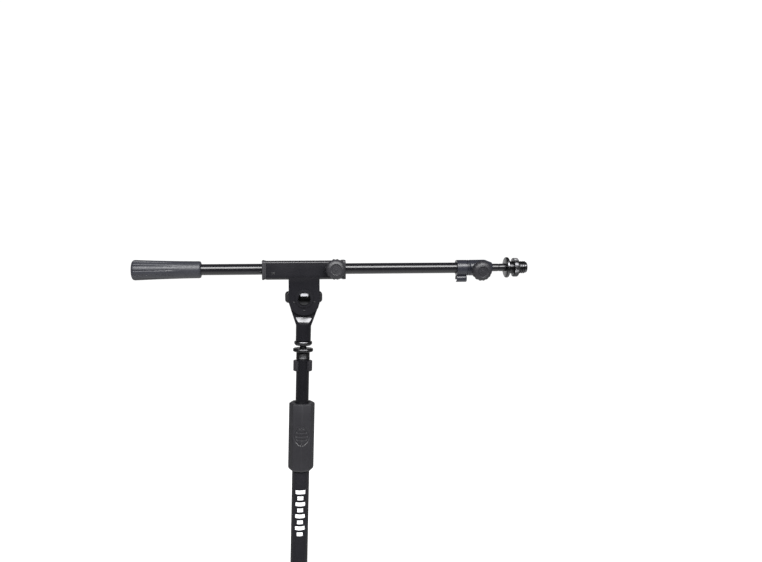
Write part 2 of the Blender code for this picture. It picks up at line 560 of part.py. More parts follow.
def make_height_clutch():
    """The twist clutch: the grip turns on a threaded body and closes a collet on the upper tube."""
    place = on_pole(BOOM_AXIS_HEIGHT)
    rings = [grip_ring(GRIP_BOTTOM, 0.0016), grip_ring(GRIP_BOTTOM + 0.0028),
             grip_ring(GRIP_TOP - 0.0012), grip_ring(GRIP_TOP, 0.0014)]
    grip = lofted("grip_shell", rings, "graphite_plastic", **place)
    cut(grip, turned("cut_grip_hollow", [(0, GRIP_BOTTOM - 0.002), (0.01105, GRIP_BOTTOM - 0.002),
                                         (0.01105, GRIP_BOTTOM + 0.004), (0.0133, GRIP_BOTTOM + 0.004),
                                         (0.0133, GRIP_TOP - 0.004), (0.0086, GRIP_TOP - 0.004),
                                         (0.0086, GRIP_TOP + 0.002), (0, GRIP_TOP + 0.002)], None, **place))
    tube_top = LOWER_TUBE_TOP - BOOM_AXIS_HEIGHT + GAP
    body = [(LOWER_RADIUS + 0.0002, GRIP_BOTTOM + 0.0044), (0.0130, GRIP_BOTTOM + 0.0044),
            (0.0130, GRIP_TOP - 0.0044), (0.0102, GRIP_TOP - 0.0044), (0.0102, tube_top),
            (LOWER_RADIUS + 0.0002, tube_top)]
    turned("clutch_body", body, "nylon", **place)
    tube("clutch_collet", 0.0099, UPPER_RADIUS + 0.0002, tube_top + GAP, GRIP_TOP - 0.0050, "nylon",
         **place)


def make_lower_tube():
    tube("lower_tube", LOWER_RADIUS, LOWER_BORE, LOWER_TUBE_BOTTOM, LOWER_TUBE_TOP, "gloss_black",
         **on_pole())
    spigot = LOWER_BORE - 0.0002
    cap = [(0, 0.0270), (0.0085, 0.0270), (0.0105, 0.0285), (0.0105, LOWER_TUBE_BOTTOM - GAP),
           (spigot, LOWER_TUBE_BOTTOM - GAP), (spigot, LOWER_TUBE_BOTTOM + 0.016),
           (0, LOWER_TUBE_BOTTOM + 0.016)]
    turned("tube_end_cap", cap, "nylon", **on_pole())


# Tripod

def make_hub():
    obj = tube("tripod_hub", HUB_RADIUS, LOWER_RADIUS + 0.0003, HUB_BOTTOM, HUB_TOP, "satin_black",
               **on_pole())
    outer = LEG_PIVOT_REACH + HUB_EAR_RADIUS
    profile = [(0.0145, HUB_BOTTOM + 0.002)]
    profile += arc((LEG_PIVOT_REACH, LEG_PIVOT_HEIGHT), HUB_EAR_RADIUS, -pi / 2, pi / 2, 8)
    profile += [(0.0145, HUB_TOP - 0.004)]
    for leg, direction in enumerate(LEG_DIRECTIONS, 1):
        for side, low in (("left", EAR_GAP_HALF), ("right", -EAR_OUTER_HALF)):
            ear = slab(f"add_ear_{leg}_{side}", profile, low, low + EAR_OUTER_HALF - EAR_GAP_HALF, None,
                       rotation=(pi / 2, 0, direction))
            join(obj, ear)
        frame = empty(f"leg_rivet_frame_{leg}", (LEG_PIVOT_REACH * cos(direction),
                      LEG_PIVOT_REACH * sin(direction), LEG_PIVOT_HEIGHT), (pi / 2, 0, direction))
        cut(obj, rod(f"cut_rivet_{leg}", RIVET_RADIUS + GAP, -outer, outer, None, SMALL_STEPS, parent=frame))
        seat = EAR_OUTER_HALF + GAP
        rivet = [(0, -0.0135), (0.0040, -0.0128), (RIVET_HEAD_RADIUS, -seat), (RIVET_RADIUS, -seat),
                 (RIVET_RADIUS, seat), (RIVET_HEAD_RADIUS, seat), (0.0040, 0.0128), (0, 0.0135)]
        turned(f"leg_rivet_{leg}", rivet, "zinc", SMALL_STEPS, parent=frame)
    place = {"location": (0, 0, LEG_PIVOT_HEIGHT), "rotation": ALONG_X}
    join(obj, rod("add_hub_boss", HUB_BOSS_RADIUS, HUB_RADIUS - 0.002, HUB_RADIUS + HUB_BOSS_LENGTH, None,
                  24, **place))
    cut(obj, rod("cut_hub_screw", SCREW_RADIUS + GAP, 0.008, 0.030, None, SMALL_STEPS, **place))
    screw_end = make_knob("hub_knob", HUB_RADIUS + HUB_BOSS_LENGTH + GAP, **place)
    rod("hub_screw", SCREW_RADIUS, LOWER_RADIUS + GAP, screw_end, "zinc", SMALL_STEPS, **place)


def make_leg(leg, direction):
    """One leg on its hinge: local X runs down the leg from the pivot."""
    pivot = (LEG_PIVOT_REACH * cos(direction), LEG_PIVOT_REACH * sin(direction), LEG_PIVOT_HEIGHT)
    frame = empty(f"leg_hinge_{leg}", pivot, (0, LEG_SLOPE, direction))
    along = {"rotation": ALONG_X, "parent": frame}
    half = EAR_GAP_HALF - GAP
    eye = [(KNUCKLE_LENGTH, -0.0078), (KNUCKLE_LENGTH, 0.0078)]
    eye += arc((0, 0), KNUCKLE_RADIUS, pi / 2 - 0.1, 3 * pi / 2 + 0.1, 12)
    knuckle = slab(f"leg_knuckle_{leg}", eye, -half, half, "nylon", rotation=TOWARDS_FRONT, parent=frame)
    join(knuckle, rod(f"add_spigot_{leg}", LEG_BORE - 0.0003, 0.0170, 0.0400, None, 24, **along))
    cut(knuckle, rod(f"cut_knuckle_{leg}", RIVET_RADIUS + GAP, -0.020, 0.020, None, SMALL_STEPS,
                     rotation=TOWARDS_FRONT, parent=frame))
    tube(f"leg_tube_{leg}", LEG_RADIUS, LEG_BORE, KNUCKLE_LENGTH + GAP,
         LEG_LENGTH - FOOT_SOCKET_FLOOR - GAP, "gloss_black", 24, **along)
    nose = arc((LEG_LENGTH, 0), FOOT_RADIUS, pi / 2, 0, 6)
    outer = [(across, far) for far, across in nose]
    top, floor = LEG_LENGTH - FOOT_LENGTH, LEG_LENGTH - FOOT_SOCKET_FLOOR
    profile = [(LEG_RADIUS + GAP, top), (FOOT_RADIUS - 0.0010, top)] + outer
    profile[-1] = (0, LEG_LENGTH + FOOT_RADIUS)
    profile += [(0, floor), (LEG_RADIUS + GAP, floor)]
    foot = turned_with_socket(f"leg_foot_{leg}", profile, **along)
    cut(foot, block(f"cut_floor_{leg}", (-0.4, -0.4, -0.05), (0.4, 0.4, 0), None))


def turned_with_socket(name, profile, **place):
    """A foot: its profile is open along the axis between its nose and the floor of its socket."""
    start = next(k for k in range(len(profile)) if profile[k][0] == 0)
    points = profile[start + 1:] + profile[:start + 1]
    return turned(name, points, "foot_rubber", 24, **place)


def main():
    clear_scene()
    boom_frame = empty("boom_frame", (0, 0, PIVOT_HEIGHT), (0, -BOOM_RAISE, 0))
    make_boom_tube(boom_frame)
    make_counterweight(boom_frame)
    make_saddle(boom_frame)
    make_end_bush(boom_frame, "left", SADDLE_START - LEFT_CAP_THICKNESS, SADDLE_START - GAP,
                  -CAP_SLEEVE_END)
    make_end_bush(boom_frame, "right", SADDLE_END + RIGHT_CAP_THICKNESS, SADDLE_END + GAP,
                  CAP_SLEEVE_END)
    make_boom_knob(boom_frame)
    make_tilt_hardware(boom_frame)
    make_tilt_handle(boom_frame)
    make_boom_clip(boom_frame)
    make_rod_clutch(boom_frame)
    make_inner_rod(boom_frame)
    make_yoke()
    make_pole_top()
    make_upper_tube()
    make_pole_clip()
    make_height_clutch()
    make_lower_tube()
    make_hub()
    for leg, direction in enumerate(LEG_DIRECTIONS, 1):
        make_leg(leg, direction)


main()
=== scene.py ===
"""The finished look of a boom microphone stand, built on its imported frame."""

import json
from math import acos, atan2, cos, hypot, pi, radians, sin

import bmesh
import bpy
from mathutils import Matrix, Vector


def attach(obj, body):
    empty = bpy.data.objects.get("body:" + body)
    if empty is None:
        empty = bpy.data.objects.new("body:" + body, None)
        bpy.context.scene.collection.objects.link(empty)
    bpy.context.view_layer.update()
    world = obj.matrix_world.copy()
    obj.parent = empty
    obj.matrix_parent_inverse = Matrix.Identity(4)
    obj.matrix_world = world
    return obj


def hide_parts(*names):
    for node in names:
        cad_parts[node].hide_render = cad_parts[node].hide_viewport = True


bl_info = {
    "name": "Boom microphone stand",
    "version": (1, 0, 0),
    "blender": (4, 5, 0),
    "location": "3D View > Sidebar > Stand",
    "description": "Models and finishes every piece of a boom microphone stand",
    "category": "Object",
}

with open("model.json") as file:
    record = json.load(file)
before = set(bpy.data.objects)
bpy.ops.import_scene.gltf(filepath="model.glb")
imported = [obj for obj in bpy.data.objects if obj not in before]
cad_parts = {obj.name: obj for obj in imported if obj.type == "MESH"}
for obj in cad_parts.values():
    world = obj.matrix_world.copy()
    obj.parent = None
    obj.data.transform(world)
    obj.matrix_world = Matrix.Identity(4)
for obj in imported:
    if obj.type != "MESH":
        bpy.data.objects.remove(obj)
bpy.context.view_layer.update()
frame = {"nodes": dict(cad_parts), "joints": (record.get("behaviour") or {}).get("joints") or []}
JOINTS = {joint["name"]: joint for joint in frame["joints"]}

# Places, in metres. The boom is modelled level and then leant up about the tilt pivot.
PIVOT = Vector(JOINTS["boom_tilt"]["pos_m"])
PIVOT_DROP = 0.036
AXIS = PIVOT + Vector((0, 0, PIVOT_DROP))
BOOM_RAISE = radians(1.6)
LEAN = (Matrix.Translation(PIVOT) @ Matrix.Rotation(-BOOM_RAISE, 4, "Y")
        @ Matrix.Translation(-PIVOT))
LEANING = {"saddle", "tilt_clamp", "boom", "boom_clamp", "rod", "rod_clamp", "rod_nut"}
X, Y, Z = Vector((1, 0, 0)), Vector((0, 1, 0)), Vector((0, 0, 1))
ORIGIN = Vector((0, 0, 0))
STEPS = 96
TINY = 0.001
MERGE = 0.000005
CLOSE = 0.00002

# Shared fits: clearance holes and bores, and where the knobs stand
SCREW_HOLE = 0.0033
BOOM_BORE, POLE_BORE = 0.00695, 0.01105
SADDLE_KNOB = AXIS + X * 0.0378
CLUTCH_KNOB = AXIS + X * 0.2205
CLUTCH_TURN = radians(10)
CLUTCH_FRONT = Vector((0, -cos(CLUTCH_TURN), -sin(CLUTCH_TURN)))

# Saddle section, counted from the boom's axis
SHEET = 0.0016
SADDLE_START, SADDLE_END = -0.0456, 0.0438
SADDLE_TOP, SADDLE_BOTTOM, SADDLE_HALF = 0.0101, -0.0126, 0.0110
TOP_BEND, BOTTOM_BEND = 0.0025, 0.0040
SLOT_HALF = 0.0055
EAR_INSIDE, EAR_HALF, EAR_CORNER, EAR_RADIUS = 0.0076, 0.0188, -0.0050, 0.0205
EAR_ARC = 0.95

# Head, counted from the pivot
BARREL_RADIUS, BARREL_BOTTOM = 0.00935, -0.0528
TONGUE_HALF, TONGUE_SHOULDER, HEAD_RADIUS = 0.0054, -0.0140, 0.0160
BOLT_RADIUS = 0.0040

# Pole, counted down from the boom's axis
GRIP_TOP, GRIP_BOTTOM = -0.1660, -0.2503
CLIP_TOP, CLIP_BOTTOM = -0.1137, -0.1259

# Tripod
HUB_BOTTOM, HUB_TOP = 0.092, 0.137
LEG_REACH, LEG_HEIGHT = 0.030, 0.113
FOOT_REACH, FOOT_HEIGHT, FOOT_RADIUS = 0.2715, 0.0105, 0.0115
LEG_SLOPE = atan2(LEG_HEIGHT - FOOT_HEIGHT, FOOT_REACH - LEG_REACH)
LEG_LENGTH = hypot(LEG_HEIGHT - FOOT_HEIGHT, FOOT_REACH - LEG_REACH)
LEG_PIVOT = Vector((LEG_REACH, 0, LEG_HEIGHT))
LEG_TURNS = (pi, pi / 3, -pi / 3)

# Camera
CAMERA_PLACE = Vector((-0.0252, -0.857, 1.0682))
CAMERA_YAW, CAMERA_PITCH, CAMERA_ROLL = radians(8.0), radians(3.4), radians(1.5)
CAMERA_LENS, CAMERA_SENSOR = 32.74015748, 36.0


# Modelling steps, each made with Blender's own operators

def clear_selection():
    if bpy.context.mode != "OBJECT":
        bpy.ops.object.mode_set(mode="OBJECT")
    bpy.ops.object.select_all(action="DESELECT")


def activate(obj):
    clear_selection()
    obj.select_set(True)
    bpy.context.view_layer.objects.active = obj


def opened(name):
    """Names the primitive just added, sets its place into its mesh and opens it, all selected."""
    obj = bpy.context.object
    obj.name = obj.data.name = name
    bpy.ops.object.transform_apply(location=True, rotation=True, scale=True)
    bpy.context.tool_settings.mesh_select_mode = (True, False, False)
    bpy.ops.object.mode_set(mode="EDIT")
    bpy.ops.mesh.select_all(action="SELECT")
    return obj


def merge_all():
    bpy.ops.mesh.select_all(action="SELECT")
    bpy.ops.mesh.remove_doubles(threshold=MERGE)


def closed(obj, smooth=30):
    """Merges doubles, points the faces outwards and leaves edit mode with smooth shading."""
    merge_all()
    bpy.ops.mesh.normals_make_consistent(inside=False)
    bpy.ops.object.mode_set(mode="OBJECT")
    bpy.ops.object.shade_smooth_by_angle(angle=radians(smooth))
    return obj


def closed_again(obj, smooth=35):
    """Merges and shades a piece once its booleans are done."""
    activate(obj)
    bpy.ops.object.mode_set(mode="EDIT")
    return closed(obj, smooth)


def pick(obj, kind, test):
    """Selects the vertices or faces whose place and normal pass the test, and nothing else."""
    activate(obj)
    bpy.context.tool_settings.mesh_select_mode = (kind == "verts", False, kind == "faces")
    bpy.ops.object.mode_set(mode="EDIT")
    bpy.ops.mesh.select_all(action="DESELECT")
    mesh = bmesh.from_edit_mesh(obj.data)
    for item in getattr(mesh, kind):
        place = item.co if kind == "verts" else item.calc_center_median()
        if test(place, item.normal):
            item.select_set(True)
    mesh.select_flush_mode()
    bmesh.update_edit_mesh(obj.data)


def pull(vector):
    bpy.ops.mesh.extrude_region_move(TRANSFORM_OT_translate={"value": vector})


def resize(factors, centre):
    if isinstance(factors, float):
        factors = (factors,) * 3
    bpy.ops.transform.resize(value=factors, center_override=centre)


def drawn(name, points):
    """Draws a line of edges through the points and leaves it in edit mode."""
    clear_selection()
    bpy.ops.mesh.primitive_plane_add(size=TINY, location=points[0])
    obj = opened(name)
    bpy.ops.mesh.merge(type="CENTER")
    for before, after in zip(points, points[1:]):
        pull(after - before)
    return obj


def turned(name, profile, origin=ORIGIN, axis=Z, start=X, steps=STEPS):
    """Draws (radius, along) points and spins them about the axis."""
    points = [origin + start * radius + axis * along for radius, along in profile]
    obj = drawn(name, points)
    bpy.ops.mesh.select_all(action="SELECT")
    bpy.ops.mesh.spin(steps=steps, angle=2 * pi, center=origin, axis=axis)
    return closed(obj)


def pin(name, radius, low, high, origin=ORIGIN, axis=Z, start=X, steps=STEPS):
    """A plain cylinder between two distances along its axis."""
    return turned(name, [(0, low), (radius, low), (radius, high), (0, high)], origin, axis, start,
                  steps)


def near(across, along, *steps):
    """Points given by their steps, in millimetres, from one (across, along) point."""
    return [(across + step / 1000, along + rise / 1000) for step, rise in steps]


def tube(name, radius, bore, low, high, chamfer=0.0003, **place):
    """A tube with its four edges broken."""
    profile = [(bore + chamfer, low), (radius - chamfer, low), (radius, low + chamfer),
               (radius, high - chamfer), (radius - chamfer, high), (bore + chamfer, high),
               (bore, high - chamfer), (bore, low + chamfer), (bore + chamfer, low)]
    return turned(name, profile, **place)


def slab(name, outline, sweep):
    """Fills a drawn outline and extrudes it along the sweep."""
    obj = drawn(name, outline + outline[:1])
    merge_all()
    bpy.ops.mesh.edge_face_add()
    pull(sweep)
    return closed(obj)


def stacked(name, sides, rings, origin, axis, turn=(0, 0, 0), shape=None):
    """Grows a solid from a filled ring: each (radius, along) ring is extruded from the last."""
    clear_selection()
    radius, along = rings[0]
    bpy.ops.mesh.primitive_circle_add(vertices=sides, radius=radius, fill_type="NGON",
                                      location=origin + axis * along, rotation=turn)
    obj = opened(name)
    if shape:
        shape(obj, origin + axis * along, 0)
    for number, ((before, low), (after, high)) in enumerate(zip(rings, rings[1:]), 1):
        pull(axis * (high - low))
        resize(after / before, origin + axis * high)
        if shape:
            shape(obj, origin + axis * high, number)
    return closed(obj)


def modified(obj, kind, **settings):
    """Adds a modifier and applies it at once."""
    activate(obj)
    modifier = obj.modifiers.new(kind.title(), kind)
    for setting, value in settings.items():
        setattr(modifier, setting, value)
    bpy.ops.object.modifier_apply(modifier=modifier.name)
    return obj


def combined(obj, operation, *others):
    for other in others:
        modified(obj, "BOOLEAN", operation=operation, object=other, solver="EXACT")
        bpy.data.objects.remove(other)
    return obj


def rounded(obj, width, segments=2):
    """Breaks every sharp edge with a small radius."""
    modified(obj, "BEVEL", width=width, segments=segments, limit_method="ANGLE",
             angle_limit=radians(40), use_clamp_overlap=True)
    bpy.ops.object.mode_set(mode="EDIT")
    return closed(obj, 35)


def moved(obj, matrix):
    """Moves a piece and sets its place into its mesh."""
    activate(obj)
    obj.matrix_world = matrix @ obj.matrix_world
    bpy.ops.object.transform_apply(location=True, rotation=True, scale=True)
    return obj


def copied(obj, name, matrix):
    """A copy with its own mesh, moved by the matrix."""
    other = obj.copy()
    other.data = obj.data.copy()
    other.name = other.data.name = name
    bpy.context.scene.collection.objects.link(other)
    return moved(other, matrix)


def arc(centre, radius, start, end, steps):
    """Points on an arc in a plane, with both ends."""
    angles = [start + (end - start) * step / steps for step in range(steps + 1)]
    return [(centre[0] + radius * cos(angle), centre[1] + radius * sin(angle)) for angle in angles]


def corner_box(left, right, low, high, bend):
    """A rectangle with round corners, as points in a plane."""
    steps = 8
    return (arc((right - bend, low + bend), bend, -pi / 2, 0, steps)
            + arc((right - bend, high - bend), bend, 0, pi / 2, steps)
            + arc((left + bend, high - bend), bend, pi / 2, pi, steps)
            + arc((left + bend, low + bend), bend, pi, 3 * pi / 2, steps))


def across_boom(points, along):
    """(across, height) points of a section of the boom, with across towards the back."""
    return [AXIS + Vector((along, across, height)) for across, height in points]


def upright(points, across):
    """(along, height) points of an outline that faces the front."""
    return [PIVOT + Vector((along, across, height)) for along, height in points]


def coat(obj, finish):
    """Gives the whole piece one material, and any faces already set apart keep their slot."""
    if obj.data.materials:
        obj.data.materials[0] = finish
    else:
        obj.data.materials.append(finish)
    return obj


def placed(obj, body, slot, finish, *nodes):
    """Finishes a piece: its place, material, the CAD nodes it stands for and its body. The slot
    argument is not used.
    """
    if body in LEANING:
        moved(obj, LEAN)
    coat(obj, finish_of(finish))
    if nodes:
        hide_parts(*nodes)
    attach(obj, body)
    return obj


# Materials

class Signal:
    """A shader socket that takes part in Python sums."""

    def __init__(self, nodes, socket):
        self.nodes, self.socket = nodes, socket

    def sum(self, operation, first, second=0.0):
        return self.nodes.node("ShaderNodeMath", {"operation": operation}, {0: first, 1: second})

    def __add__(self, other):
        return self.sum("ADD", self, other)

    def __sub__(self, other):
        return self.sum("SUBTRACT", self, other)

    def __rsub__(self, other):
        return self.sum("SUBTRACT", other, self)

    def __mul__(self, other):
        return self.sum("MULTIPLY", self, other)

    def __truediv__(self, other):
        return self.sum("DIVIDE", self, other)

    def __gt__(self, other):
        return self.sum("GREATER_THAN", self, other)

    def __lt__(self, other):
        return self.sum("LESS_THAN", self, other)

    def __abs__(self):
        return self.sum("ABSOLUTE", self)

    __radd__ = __add__
    __rmul__ = __mul__


class Nodes:
    """A node tree, with one method that makes any node in it."""

    def __init__(self, tree):
        self.tree = tree

    def node(self, kind, settings=None, inputs=None, output=0):
        """Makes any node: its settings first, then the values or links of its sockets."""
        node = self.tree.nodes.new(kind)
        for setting, value in (settings or {}).items():
            if setting == "stops":
                for element, (position, colour) in zip(node.color_ramp.elements, value):
                    element.position, element.color = position, colour
            else:
                setattr(node, setting, value)
        for socket, value in (inputs or {}).items():
            if isinstance(value, Signal):
                self.tree.links.new(value.socket, node.inputs[socket])
            else:
                node.inputs[socket].default_value = value
        return None if output is None else Signal(self, node.outputs[output])

    def spread(self, signal, low, high):
        """Stretches the part of a signal between two levels over 0 to 1."""
        return self.node("ShaderNodeMapRange", {"interpolation_type": "SMOOTHSTEP"},
                         {"Value": signal, "From Min": low, "From Max": high})


class Finish(Nodes):
    """One material's node tree, with a Principled shader."""

    def __init__(self, name, **constants):
        self.material = bpy.data.materials.new(name)
        self.material.use_nodes = True
        super().__init__(self.material.node_tree)
        self.shader = self.tree.nodes["Principled BSDF"]
        for socket, value in constants.items():
            self.shader.inputs[socket.replace("_", " ")].default_value = value
        self.spot = self.node("ShaderNodeTexCoord", output="Object")
        self.along = [self.node("ShaderNodeSeparateXYZ", None, {0: self.spot}, output)
                      for output in range(3)]

    def stretched(self, factors):
        return self.node("ShaderNodeMapping", None, {"Vector": self.spot, "Scale": factors})

    def noise(self, scale, detail=2.0, factors=None):
        vector = self.stretched(factors) if factors else self.spot
        return self.node("ShaderNodeTexNoise", None,
                         {"Vector": vector, "Scale": scale, "Detail": detail}, "Fac")

    def cells(self, scale):
        return self.node("ShaderNodeTexVoronoi", None, {"Vector": self.spot, "Scale": scale},
                         "Distance")

    def rings(self, axis, scale, distortion):
        return self.node("ShaderNodeTexWave", {"bands_direction": axis},
                         {"Vector": self.spot, "Scale": scale, "Distortion": distortion}, "Fac")

    def blend(self, factor, first, second):
        """Mixes two colours."""
        return self.node("ShaderNodeMix", {"data_type": "RGBA"},
                         {0: factor, 6: first, 7: second}, 2)

    def set(self, **signals):
        for socket, signal in signals.items():
            self.tree.links.new(signal.socket, self.shader.inputs[socket.replace("_", " ")])
        return self.material

    def relief(self, height, depth):
        """Turns a height of 0 to 1 into bumps of that depth in metres."""
        bump = self.node("ShaderNodeBump", None, {"Height": height, "Distance": depth,
                                                  "Strength": 1.0})
        self.set(Normal=bump)


def shade(colour, factor):
    return (colour[0] * factor, colour[1] * factor, colour[2] * factor, 1.0)


def lacquer(name, colour, marks=None):
    """Smooth black lacquer on tube: faint orange peel, smudges and hairline scratches."""
    finish = Finish(name, IOR=1.5)
    clouds = finish.noise(38.0, 3.0)
    smudges = finish.spread(finish.noise(120.0, 4.0), 0.48, 0.72)
    hairs = finish.spread(finish.noise(240.0, 2.0, (1.0, 1.0, 14.0)), 0.68, 0.76)
    base = finish.blend(clouds, shade(colour, 0.75), shade(colour, 1.25))
    base = finish.blend(hairs * 0.25, base, shade(colour, 3.0))
    rough = 0.13 + clouds * 0.08 + smudges * 0.07 + hairs * 0.10
    peel = finish.noise(620.0, 1.0)
    if marks:
        painted = marks(finish)
        base = finish.blend(painted, base, (0.86, 0.86, 0.87, 1.0))
        rough = rough + painted * 0.25
        peel = peel + painted * 1.2
    finish.relief(peel, 0.0000010)
    return finish.set(Base_Color=base, Roughness=rough)


def height_marks(finish):
    """White scale bars printed on the front of the lower tube, alternately wide and narrow."""
    x, y, z = finish.along
    top, pitch, bar = AXIS.z - 0.2745, 0.0076, 0.0046
    down = (top - z) / pitch
    step = finish.node("ShaderNodeMath", {"operation": "FLOOR"}, {0: down})
    inside = (down > 0.0) * (down < 7.6) * ((down - step) < bar / pitch)
    odd = abs(finish.node("ShaderNodeMath", {"operation": "MODULO"}, {0: step, 1: 2.0}))
    half = 0.0058 - odd * 0.0022
    worn = finish.noise(900.0, 3.0) > 0.30
    return inside * (abs(x) < half) * (y < 0.0) * worn


def powder(name, colour, metal_edges=0.0):
    """Satin powder coat with a fine pebbled texture."""
    finish = Finish(name, IOR=1.45)
    clouds = finish.noise(45.0, 3.0)
    pebbles = finish.noise(1700.0, 3.0)
    specks = finish.spread(finish.noise(2600.0, 1.0), 0.66, 0.78)
    base = finish.blend(clouds, shade(colour, 0.8), shade(colour, 1.2))
    base = finish.blend(specks * (0.3 + metal_edges), base, shade(colour, 2.4))
    finish.relief(pebbles, 0.000012)
    return finish.set(Base_Color=base, Roughness=0.26 + clouds * 0.10 + specks * 0.1)


def plated(name, colour, roughness, axis="Z", turning=1800.0):
    """Plated steel with fine turning lines round the axis."""
    finish = Finish(name, Metallic=1.0)
    lines = finish.rings(axis, turning, 1.5)
    stains = finish.spread(finish.noise(140.0, 4.0), 0.40, 0.75)
    base = finish.blend(stains, shade(colour, 1.12), shade(colour, 0.72))
    finish.relief(lines, 0.000006)
    return finish.set(Base_Color=base, Roughness=roughness + stains * 0.12 + lines * 0.05)


def cast_zinc(name, colour, roughness):
    """Zinc plate with a faint crystal pattern."""
    finish = Finish(name, Metallic=1.0)
    crystals = finish.cells(900.0)
    dull = finish.noise(300.0, 3.0)
    base = finish.blend(crystals, shade(colour, 1.1), shade(colour, 0.75))
    finish.relief(crystals, 0.000008)
    return finish.set(Base_Color=base, Roughness=roughness + dull * 0.15)


def moulded(name, colour, roughness=0.42, grain=1900.0, depth=0.000018, dust=0.25):
    """Spark-textured moulded plastic or rubber with a little dust and handling shine."""
    finish = Finish(name, IOR=1.47)
    clouds = finish.noise(55.0, 3.0)
    grains = finish.noise(grain, 3.0)
    worn = finish.spread(finish.noise(170.0, 4.0), 0.45, 0.75)
    base = finish.blend(clouds, shade(colour, 0.86), shade(colour, 1.14))
    base = finish.blend(worn * dust, base, shade(colour, 1.7))
    base = finish.blend(finish.spread(grains, 0.62, 0.40) * 0.25, base, shade(colour, 0.55))
    finish.relief(grains, depth)
    return finish.set(Base_Color=base, Roughness=roughness + clouds * 0.10 - worn * 0.08)


def foot_rubber(name, colour):
    """Matt rubber, paler with dust near the floor."""
    finish = Finish(name, IOR=1.45)
    low = finish.spread(finish.along[2], 0.016, 0.001)
    grains = finish.noise(1500.0, 4.0)
    dusty = low * (0.35 + grains * 0.5)
    base = finish.blend(dusty, shade(colour, 1.0), (0.16, 0.155, 0.15, 1.0))
    finish.relief(grains, 0.00006)
    return finish.set(Base_Color=base, Roughness=0.72 + grains * 0.2)


def finish_of(name):
    """The material of that name, made the first time it is asked for."""
    if name in bpy.data.materials:
        return bpy.data.materials[name]
    colours = bpy.context.scene.stand_colours
    makers = {
        "tube lacquer": lambda: lacquer(name, colours.lacquer),
        # The lower tube's lacquer is 1.7 times lighter than the other tubes': painted light,
        # standing in for the brighter light on the lower tube.
        "tube lacquer with height marks": lambda: lacquer(name, colours.lacquer * 1.7,
                                                          height_marks),
        "saddle powder coat": lambda: powder(name, colours.powder),
        "yoke powder coat": lambda: powder(name, colours.powder, 0.2),
        "milled face": lambda: plated(name, colours.milled, 0.20, "X", 2600.0),
        "black nickel": lambda: plated(name, colours.nickel, 0.30),
        "black nickel thread": lambda: plated(name, colours.nickel, 0.24, "X"),
        "bolt black": lambda: plated(name, colours.bolt, 0.12, "Y", 900.0),
        "bright zinc": lambda: cast_zinc(name, colours.zinc, 0.28),
        "counterweight rubber": lambda: moulded(name, colours.rubber, 0.40, 1500.0, 0.000016, 0.15),
        "moulded plastic": lambda: moulded(name, colours.plastic),
        "clip plastic": lambda: moulded(name, colours.clip, 0.27, 1500.0, 0.00001, 0.15),
        "nylon": lambda: moulded(name, colours.nylon, 0.40, 1200.0, 0.00002),
        "foot rubber": lambda: foot_rubber(name, colours.foot),
    }
    return makers[name]()


# Sizes and colours that a user would change

def length(name, default, description):
    return bpy.props.FloatProperty(name=name, description=description, default=default,
                                   unit="LENGTH", subtype="DISTANCE", precision=4)


def colour(name, default, description):
    return bpy.props.FloatVectorProperty(name=name, description=description, default=default,
                                         subtype="COLOR", size=3, min=0.0, max=1.0)


class StandSizes(bpy.types.PropertyGroup):
    tube_radius: length("Boom tube radius", 0.0067, "Outside radius of the boom tube")
    rod_radius: length("Boom rod radius", 0.0049, "Outside radius of the inner rod")
    weight_radius: length("Counterweight radius", 0.0122, "Radius at the counterweight's end")
    weight_neck: length("Counterweight neck", 0.0103, "Radius where the tube enters")
    flute_depth: length("Flute depth", 0.0011, "Depth of the grooves at the counterweight's end")
    knob_radius: length("Knob radius", 0.0127, "Radius over the knob's lobes")
    lobe_depth: length("Knob lobe depth", 0.0009, "Depth of the scallops between the lobes")
    upper_radius: length("Upper tube radius", 0.0081, "Outside radius of the upper pole tube")
    lower_radius: length("Lower tube radius", 0.01075, "Outside radius of the lower pole tube")
    grip_radius: length("Grip radius", 0.0160, "Radius over the grip's edges")
    grip_dip: length("Grip flat depth", 0.0012, "How far the grip's flats lie inside its edges")
    hub_radius: length("Hub radius", 0.0170, "Outside radius of the tripod's hub")
    leg_radius: length("Leg radius", 0.0080, "Outside radius of a leg tube")


class StandColours(bpy.types.PropertyGroup):
    lacquer: colour("Lacquer", (0.007, 0.0069, 0.0084), "Gloss lacquer on the tubes")
    powder: colour("Powder coat", (0.0060, 0.0058, 0.0078), "Satin coat on the sheet and castings")
    milled: colour("Milled face", (0.062, 0.062, 0.064), "Bright sloping face of the yoke")
    nickel: colour("Black nickel", (0.10, 0.10, 0.104), "Plated nuts, studs and washer")
    bolt: colour("Bolt black", (0.055, 0.055, 0.058), "Domed head of the tilt bolt")
    zinc: colour("Zinc", (0.55, 0.55, 0.57), "Plated screws and rivets")
    rubber: colour("Counterweight rubber", (0.022, 0.023, 0.029), "Sleeve of the counterweight")
    plastic: colour("Graphite plastic", (0.017, 0.0165, 0.0195), "Knobs, grip and end caps")
    clip: colour("Clip plastic", (0.016, 0.017, 0.023), "Cable clip and rod clamp")
    nylon: colour("Nylon", (0.045, 0.045, 0.048), "Bushes, shoes and knuckles")
    foot: colour("Foot rubber", (0.018, 0.018, 0.018), "Rubber of the feet")


# Pieces of the boom

def taper(share):
    """The counterweight's flare, from 1 at its end to 0 at its neck."""
    return (1 - share) ** 1.6


